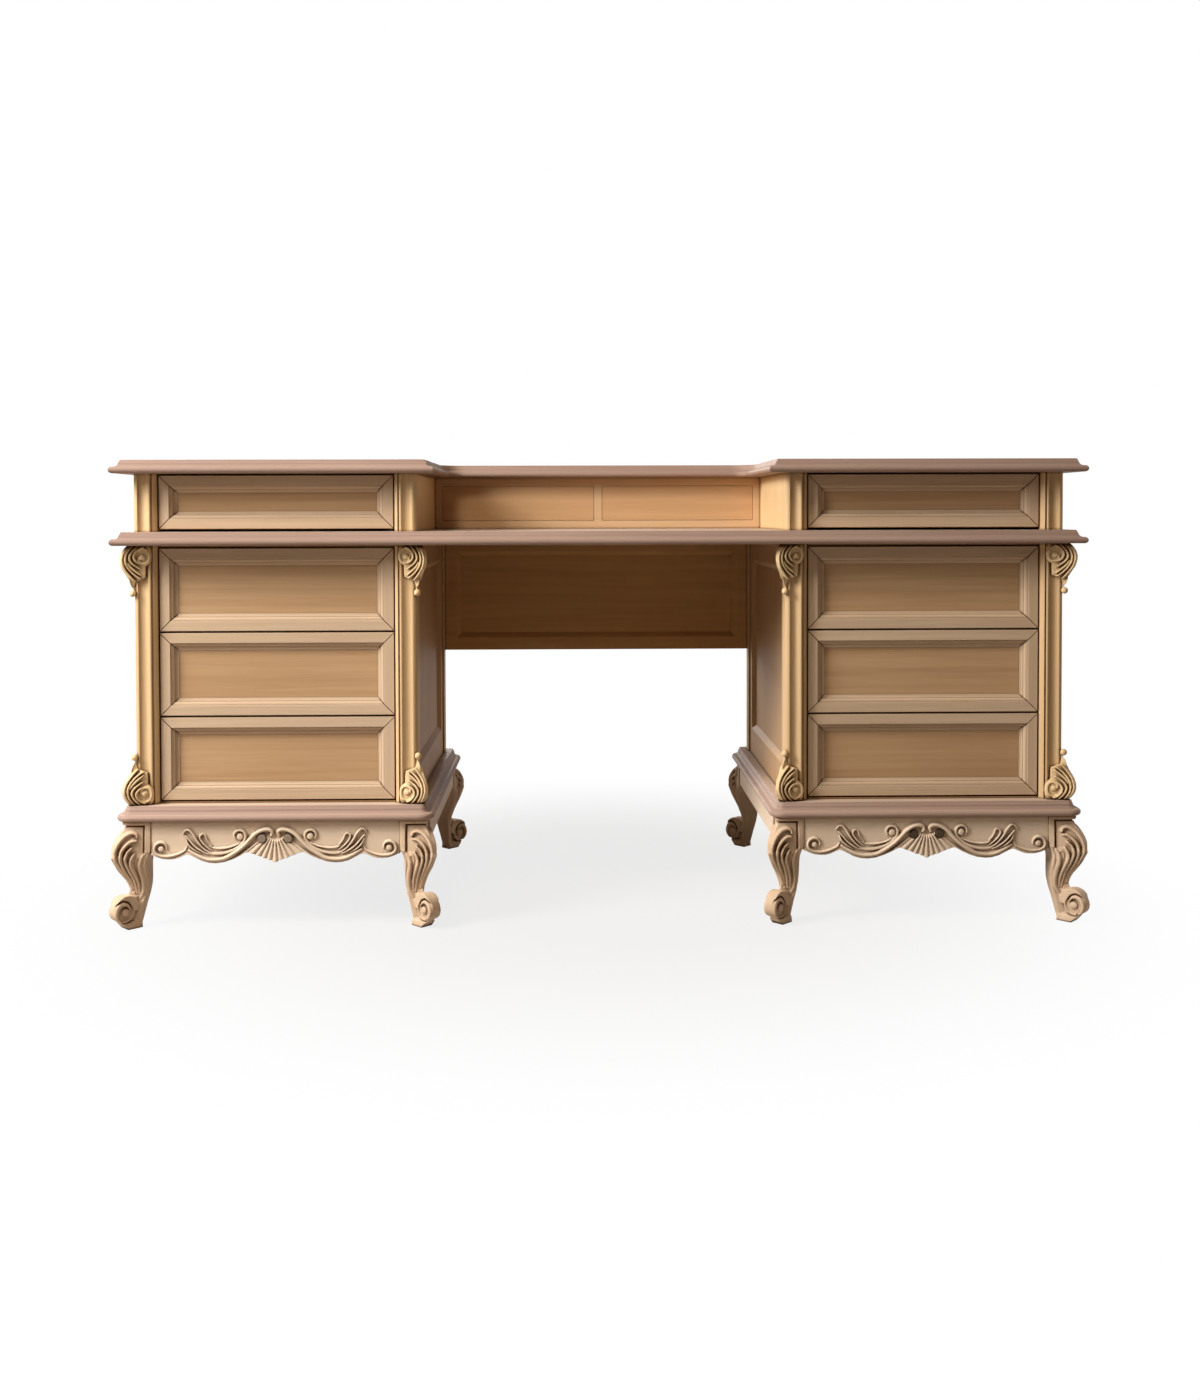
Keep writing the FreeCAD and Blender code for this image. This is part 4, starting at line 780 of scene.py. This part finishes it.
# Apron strokes on one half: half widths, heights, then places out from the middle and down from the top
APRON_BANDS = [
    ((3.5, 4.5, 4.5, 4.5, 4.5, 4, 4, 3), (5, 7.5, 8, 7.5, 7, 6, 5.5, 3),
     [(7.5, 28.5), (5.5, 21.5), (13, 16.5), (26, 18.5), (41, 28), (54, 42), (67, 54), (83.5, 65), (98, 72),
      (114.5, 74.5), (127.5, 74), (140.5, 70), (154, 63), (165, 56)]),
    ((2, 3, 3, 3.5, 4, 4, 4, 3), (3, 4.5, 5, 5, 4, 4, 3.5, 2),
     [(75.5, 35), (78.5, 28), (75, 20.5), (67, 18), (59.5, 21.5), (56.5, 29.5), (59, 38.5), (68, 49),
      (82, 57), (98, 62), (114.5, 63.5), (127.5, 61.5)]),
    ((1.5, 2, 2, 1), (3, 4, 4, 2.5),
     [(68, 43), (76, 47), (87, 50.5), (103, 53), (118, 52), (127, 47.5)]),
    ((1.5, 2.5, 2.5, 1.5), (4, 5, 5, 2.5), [(138, 24.5), (143.5, 29), (142, 36.5), (133, 47.5), (121, 57)]),
    ((1.5, 2, 1.5), (3, 4.5, 3), [(138, 24.5), (133.5, 28), (130, 37), (121.5, 48.5)]),
    ((1.5, 2.5, 3, 1.5), (4, 6, 5.5, 2.5),
     [(175.5, 24.5), (172, 18.5), (164.5, 17), (156.5, 25.5), (150, 36.5), (143.5, 45.5), (134, 55.5),
      (122, 62)]),
    ((1.5, 2.5, 2.5, 1.5), (4, 5, 5, 2.5), [(171.5, 27.5), (162.5, 38), (153, 48.5), (140, 58), (128, 64)]),
    ((1.5, 2, 2.5, 1.5), (3.5, 5, 4.5, 2.5), [(169.5, 35.5), (165.5, 45), (156, 54.5), (143, 62.5)]),
    ((1.5, 3, 3, 3, 2.5, 1.5), (3, 5, 5.5, 5, 4, 2.5),
     [(207.5, 55), (208, 47.5), (213, 42), (221, 41), (228.5, 46), (231, 54.5), (227, 62.5), (216, 67),
      (201, 67.5), (186, 63.5), (174, 57.5), (169, 50)]),
]
APRON_DISCS = [((67, 30.5), 7.5, 5), ((218, 53.5), 6.5, 4.5)]
# Its scalloped lower edge: place out from the middle, then down from the top
APRON_EDGE = [
    (0, 79.5), (4, 79), (7.5, 75.5), (11, 75.5), (14.5, 73.5), (18.5, 72.5), (22, 72), (27, 69.5), (33, 66.5),
    (38, 65.5), (43, 63), (48, 61), (54, 60.5), (60, 63), (67, 67), (83.5, 75), (98, 80), (114.5, 82),
    (127.5, 81), (140.5, 77.5), (154, 70.5), (163, 66), (169.5, 64.5), (177, 67.5), (186, 71.5), (196, 74),
    (206, 74), (216, 73), (226, 70), (232, 67), (238, 65),
]
APRON_DEEPEST = max(down for _, down in APRON_EDGE)
APRON_HALF = (BLOCK_CORNERS["outer"] - BLOCK_CORNERS["inner"]) / 2 - BLOCK_SIDE
APRON_THICKNESS = 24.0
APRON_SETBACK = 2
APRON_STEP = 1.0
APRON_SHARP = 0.6
# The shell in its middle: where its ribs start from, the angle of one, how far to the side they spread,
# in radians, and their upper end
SHELL_DOWN = 17
RIB_DEGREES = 11.2
RIB_GROUND = 2.2
RIB_HEIGHT = 3.0
SHELL_FADE = 6
SHELL_SPREAD = 0.98
SPREAD_FADE = 0.06
SHELL_TOP = [(0, 30), (14, 30), (26, 24), (40.9, 33), (54, 45)]
TOP_FADE = 3
# The proud lower rim: its height, how far in from the edge it starts, and its slope
HEM_HEIGHT = 2.0
HEM_WIDTH = 5
HEM_SLOPE = 4
HEM_ROUND = 0.8
HEM_LEAST = 0.35

# Plugs in a front apron: place out from its middle and down from its top
PLUG_PLACE = (25, 34)
PLUG_RADIUS = 8
PLUG_BURIED = 1.5
PLUG_SPOTS = 25
# The soft edge of its face: where it starts, as a share of the radius, and how far it falls
PLUG_EDGE = 0.86
PLUG_DROP = 0.9
BORE_RADIUS = PLUG_RADIUS + 0.7
BORE_GROUND = 0.4


def plug_solid(rise):
    """A flat plug with a soft edge, round its own middle on the ground of an apron."""
    square = np.linspace(-1, 1, PLUG_SPOTS)
    u, v = np.meshgrid(square, square, indexing="ij")
    # The square grid is spread over a disc
    across = u * np.sqrt(1 - v**2 / 2)
    up = v * np.sqrt(1 - u**2 / 2)
    reach = np.clip(np.hypot(across, up), 0, 1)
    drop = PLUG_DROP * ease(reach, PLUG_EDGE, 1 - PLUG_EDGE) ** 2
    front = np.stack([across * PLUG_RADIUS, drop - rise, up * PLUG_RADIUS], -1)
    back = np.stack([across * PLUG_RADIUS, np.full(across.shape, PLUG_BURIED), up * PLUG_RADIUS], -1)
    return shell(front, back)


def apron_face(out, down):
    """How far a front apron's carving stands proud of its board."""
    proud = np.zeros(out.shape)
    for shape in APRON_BANDS:
        proud = np.maximum(proud, stroke(out, down, shape, APRON_SHARP))
    for centre, radius, height in APRON_DISCS:
        proud = np.maximum(proud, disc(out, down, centre, radius, height))
    # The shell: ribs that spread from above, inside the two bands
    angle = np.arctan2(out, down - SHELL_DOWN)
    reach = np.hypot(out, down - SHELL_DOWN)
    rib = np.abs(np.sin(angle * 180 / math.pi / RIB_DEGREES * math.pi + math.pi / 2))
    spread = ease(reach, SHELL_DOWN, SHELL_FADE) * ease(SHELL_SPREAD - angle, 0, SPREAD_FADE)
    ribs = (RIB_GROUND + RIB_HEIGHT * rib**0.8) * spread
    proud = np.maximum(proud, ribs * ease(down - table(SHELL_TOP, out), 0, TOP_FADE))
    # Two bores for plugs beside the middle
    bore = np.hypot(out - PLUG_PLACE[0], down - PLUG_PLACE[1]) < BORE_RADIUS
    proud = np.where(bore, BORE_GROUND, proud)
    # The lower rim stands a little proud and rounds off at the edge
    edge = table(APRON_EDGE, out)
    hem = HEM_HEIGHT * ease(down - edge, -HEM_WIDTH, HEM_SLOPE)
    return np.maximum(proud, hem * np.clip((edge - down) / HEM_ROUND + HEM_LEAST, 0, 1))


def apron_solid(step):
    """A front apron round its own middle: across, behind the ground of the board, and up from the floor."""
    columns = np.linspace(-APRON_HALF, APRON_HALF, int(2 * APRON_HALF / step) + 1)
    rows = np.linspace(0, 1, int(APRON_DEEPEST / step) + 1)
    x = np.repeat(columns[:, None], len(rows), 1)
    down = table(APRON_EDGE, np.abs(columns))[:, None] * rows[None, :]
    proud = apron_face(np.abs(x), down)
    # The carving runs out at the legs
    fade = ease(APRON_HALF - np.abs(x), 0, 1.0)
    front = np.stack([x, -proud * fade, BLOCK_TOP - down], -1)
    back = np.stack([x, np.full(x.shape, APRON_THICKNESS), BLOCK_TOP - down], -1)
    return shell(front, back)


make_camera()
make_world()
make_floor()
make_lamp("upper_left", (-2.6, -1.3, 2.6), (-0.2, 0, 0.4), 1.2, 1.0, 102, (0.93, 0.97, 1.0))
make_lamp("front_left", (-3.2, -1.8, 2.2), (0, 0, 0.4), 1.2, 1.0, 96, (0.96, 0.98, 1.0))
make_lamp("overhead", (-0.6, -1.5, 2.8), (0.5, -0.3, 0.3), 0.6, 0.6, 23, (1.0, 0.90, 0.76))
make_lamp("behind", (-1.4, 3.7, 1.4), (0, 0, 0.6), 2.2, 1.6, 70, (1.0, 0.98, 0.96))
make_lamp("far_right", (3.9, 0.7, 0.9), (0.9, 0, 0.5), 1.8, 1.2, 26, (1.0, 0.98, 0.96))

# Each wood: its colour, its darker grain, the axis of the grain and the strength of its figure
# Crevice and groove settings paint shade, with some dust, into narrow grooves
carved = {"crevice": 0.009, "groove_low": 0.50, "groove_high": 0.88}
# On the moulded slabs, top paints light onto level faces and arris strengthens the paler edge, partly a
# painted highlight
edges = {"crevice": 0.005, "groove_low": 0.45, "groove_high": 0.96, "arris": 0.5, "top": (0.62, 0.46, 0.34)}
narrow = {"crevice": 0.004, "groove_low": 0.5, "groove_high": 0.97}
slab_wood = wood("moulded_wood", (0.39, 0.26, 0.20), (0.29, 0.18, 0.13), 0, 0.5, **edges)
plinth_wood = wood("plinth_wood", (0.45, 0.30, 0.23), (0.34, 0.215, 0.16), 0, 0.5, **edges)
pale = wood("post_wood", (0.72, 0.49, 0.265), (0.58, 0.37, 0.18), 2, 0.4, groove_low=0.3)
# Painted light: the carved brackets are a paler copy of the post wood, for their lit faces
bracket_painted_light_wood = wood("bracket_painted_light_wood", (0.88, 0.635, 0.36), (0.70, 0.47, 0.24), 2, 0.4, **carved)
beige = wood("leg_wood", (0.76, 0.55, 0.375), (0.58, 0.39, 0.24), 2, 0.35, **carved)
beige_long = wood("apron_wood", (0.85, 0.665, 0.485), (0.70, 0.50, 0.34), 0, 0.35, **carved)
panel = wood("panel_wood", (0.57, 0.355, 0.19), (0.44, 0.255, 0.125), 0, 0.7)
upright = wood("upright_wood", (0.54, 0.32, 0.155), (0.44, 0.24, 0.105), 2, 0.55)
frame_wood = wood("frame_wood", (0.67, 0.485, 0.325), (0.52, 0.355, 0.22), 0, 0.6)
frame_upright = wood("frame_wood_upright", (0.65, 0.47, 0.315), (0.53, 0.365, 0.23), 2, 0.5)
niche = wood("niche_wood", (0.66, 0.405, 0.213), (0.53, 0.305, 0.145), 0, 0.6, **narrow)
# Painted light: the niche's face frame is a paler copy of the niche wood, against the shadow of the gallery
# top over its top rail
niche_rail_painted_light = wood("niche_rail_painted_light_wood", (0.70, 0.46, 0.26), (0.58, 0.36, 0.19), 0, 0.5)
# Painted shade: the modesty panel's wood is a darker, redder copy of the panel wood, for the warm shade in
# the knee hole
modesty = wood("modesty_painted_shade_wood", (0.56, 0.31, 0.12), (0.44, 0.23, 0.08), 0, 0.6)
# Painted light: the gallery sides' wood is paler than the upright wood, for the lit inner face of the right
# wing
wing_painted_light = wood("wing_painted_light_wood", (0.78, 0.53, 0.28), (0.62, 0.40, 0.19), 2, 0.4)
plug_wood = wood("plug_wood", (0.34, 0.25, 0.18), (0.24, 0.17, 0.12), 0, 0.5)
plug_dark = wood("plug_dark_wood", (0.10, 0.065, 0.04), (0.06, 0.04, 0.025), 0, 0.5)
lining = wood("lining_wood", (0.60, 0.42, 0.25), (0.48, 0.31, 0.17), 1, 0.5)

for name, thing in nodes.items():
    if name in ("gallery_top", "worktop"):
        paint(thing, slab_wood)
    elif "plinth" in name:
        paint(thing, plinth_wood)
    elif "leg" in name:
        paint(thing, beige)
    elif "bracket" in name or "posts" in name:
        paint(thing, pale)
    elif "apron" in name:
        paint(thing, beige_long)
    elif name.endswith("_box") or "runner" in name:
        paint(thing, lining)
    elif name.endswith("front_frame"):
        paint(thing, frame_wood)
    elif name == "niche_face_frame":
        paint(thing, niche_rail_painted_light)
    elif "niche" in name:
        paint(thing, niche)
    elif "modesty" in name:
        paint(thing, modesty)
    elif name == "gallery_sides":
        paint(thing, wing_painted_light)
    elif name.endswith("pedestal_panels") or name.endswith("pedestal_frames"):
        paint(thing, upright)
    else:
        paint(thing, panel)


def placed(name, solid, move, signs, hidden, material):
    """A carved piece mirrored and moved into place, in metres, standing for a CAD node."""
    vertices, faces = solid
    spots = (vertices * signs + move) / 1000
    if np.prod(signs) < 0:
        faces = faces[:, ::-1]
    thing = add_object(name, spots, faces)
    paint(thing, material)
    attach(thing, "carcass")
    if hidden:
        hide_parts(*hidden)
    return thing


SIDES = (("left", -1), ("right", 1))


def make_legs():
    leg = leg_solid(LEG_STEP)
    for side, sx in SIDES:
        for end, ey in (("front", -1), ("rear", 1)):
            for post, corner in BLOCK_CORNERS.items():
                into = -sx if post == "outer" else sx
                name = f"{side}_{end}_{post}_leg"
                move = (sx * corner, -ey * BLOCK_FRONT, 0)
                thing = placed(f"{name}_carved", leg, move, (into, -ey, 1), [name], beige)


def make_brackets():
    """Brackets at the foot of each front post, and turned over at its top."""
    bracket = bracket_solid(BRACKET_STEP)
    for side, sx in SIDES:
        for post, corner in POST_CORNERS.items():
            into = -sx if post == "outer" else sx
            for level, base, flip in (("bottom", post_low[2], 1), ("top", post_high[2], -1)):
                # One node holds four brackets, and the first of them stands for it
                hidden = [f"{level}_brackets"] if (side, post) == ("left", "outer") else []
                name = f"{side}_{post}_{level}_bracket"
                move = (sx * corner, POST_FRONT, base)
                thing = placed(name, bracket, move, (into, 1, flip), hidden, bracket_painted_light_wood)


# How far a plug stands proud, and its wood
PLUGS = {"left": (6.5, plug_wood), "right": (5.0, plug_dark)}


def make_aprons():
    apron = apron_solid(APRON_STEP)
    ground = BLOCK_FRONT + APRON_SETBACK
    for side, sx in SIDES:
        middle = sx * POST_MIDDLE
        hidden = [f"{side}_front_apron"]
        thing = placed(f"{side}_apron_carved", apron, (middle, ground, 0), (1, 1, 1), hidden, beige_long)
        rise, finish = PLUGS[side]
        for index, shift in enumerate((-PLUG_PLACE[0], PLUG_PLACE[0])):
            name = f"{side}_apron_plug_{index + 1}"
            move = (middle + shift, ground, BLOCK_TOP - PLUG_PLACE[1])
            thing = placed(name, plug_solid(rise), move, (1, 1, 1), [], finish)


make_legs()
make_brackets()
make_aprons()
for drawer in ("upper", "middle", "lower", "gallery"):
    for side, _ in SIDES:
        body = f"{side}_{drawer}_drawer"
        mitred_frame(f"{body}_bars", f"{body}_front_frame", body, frame_wood, frame_upright)
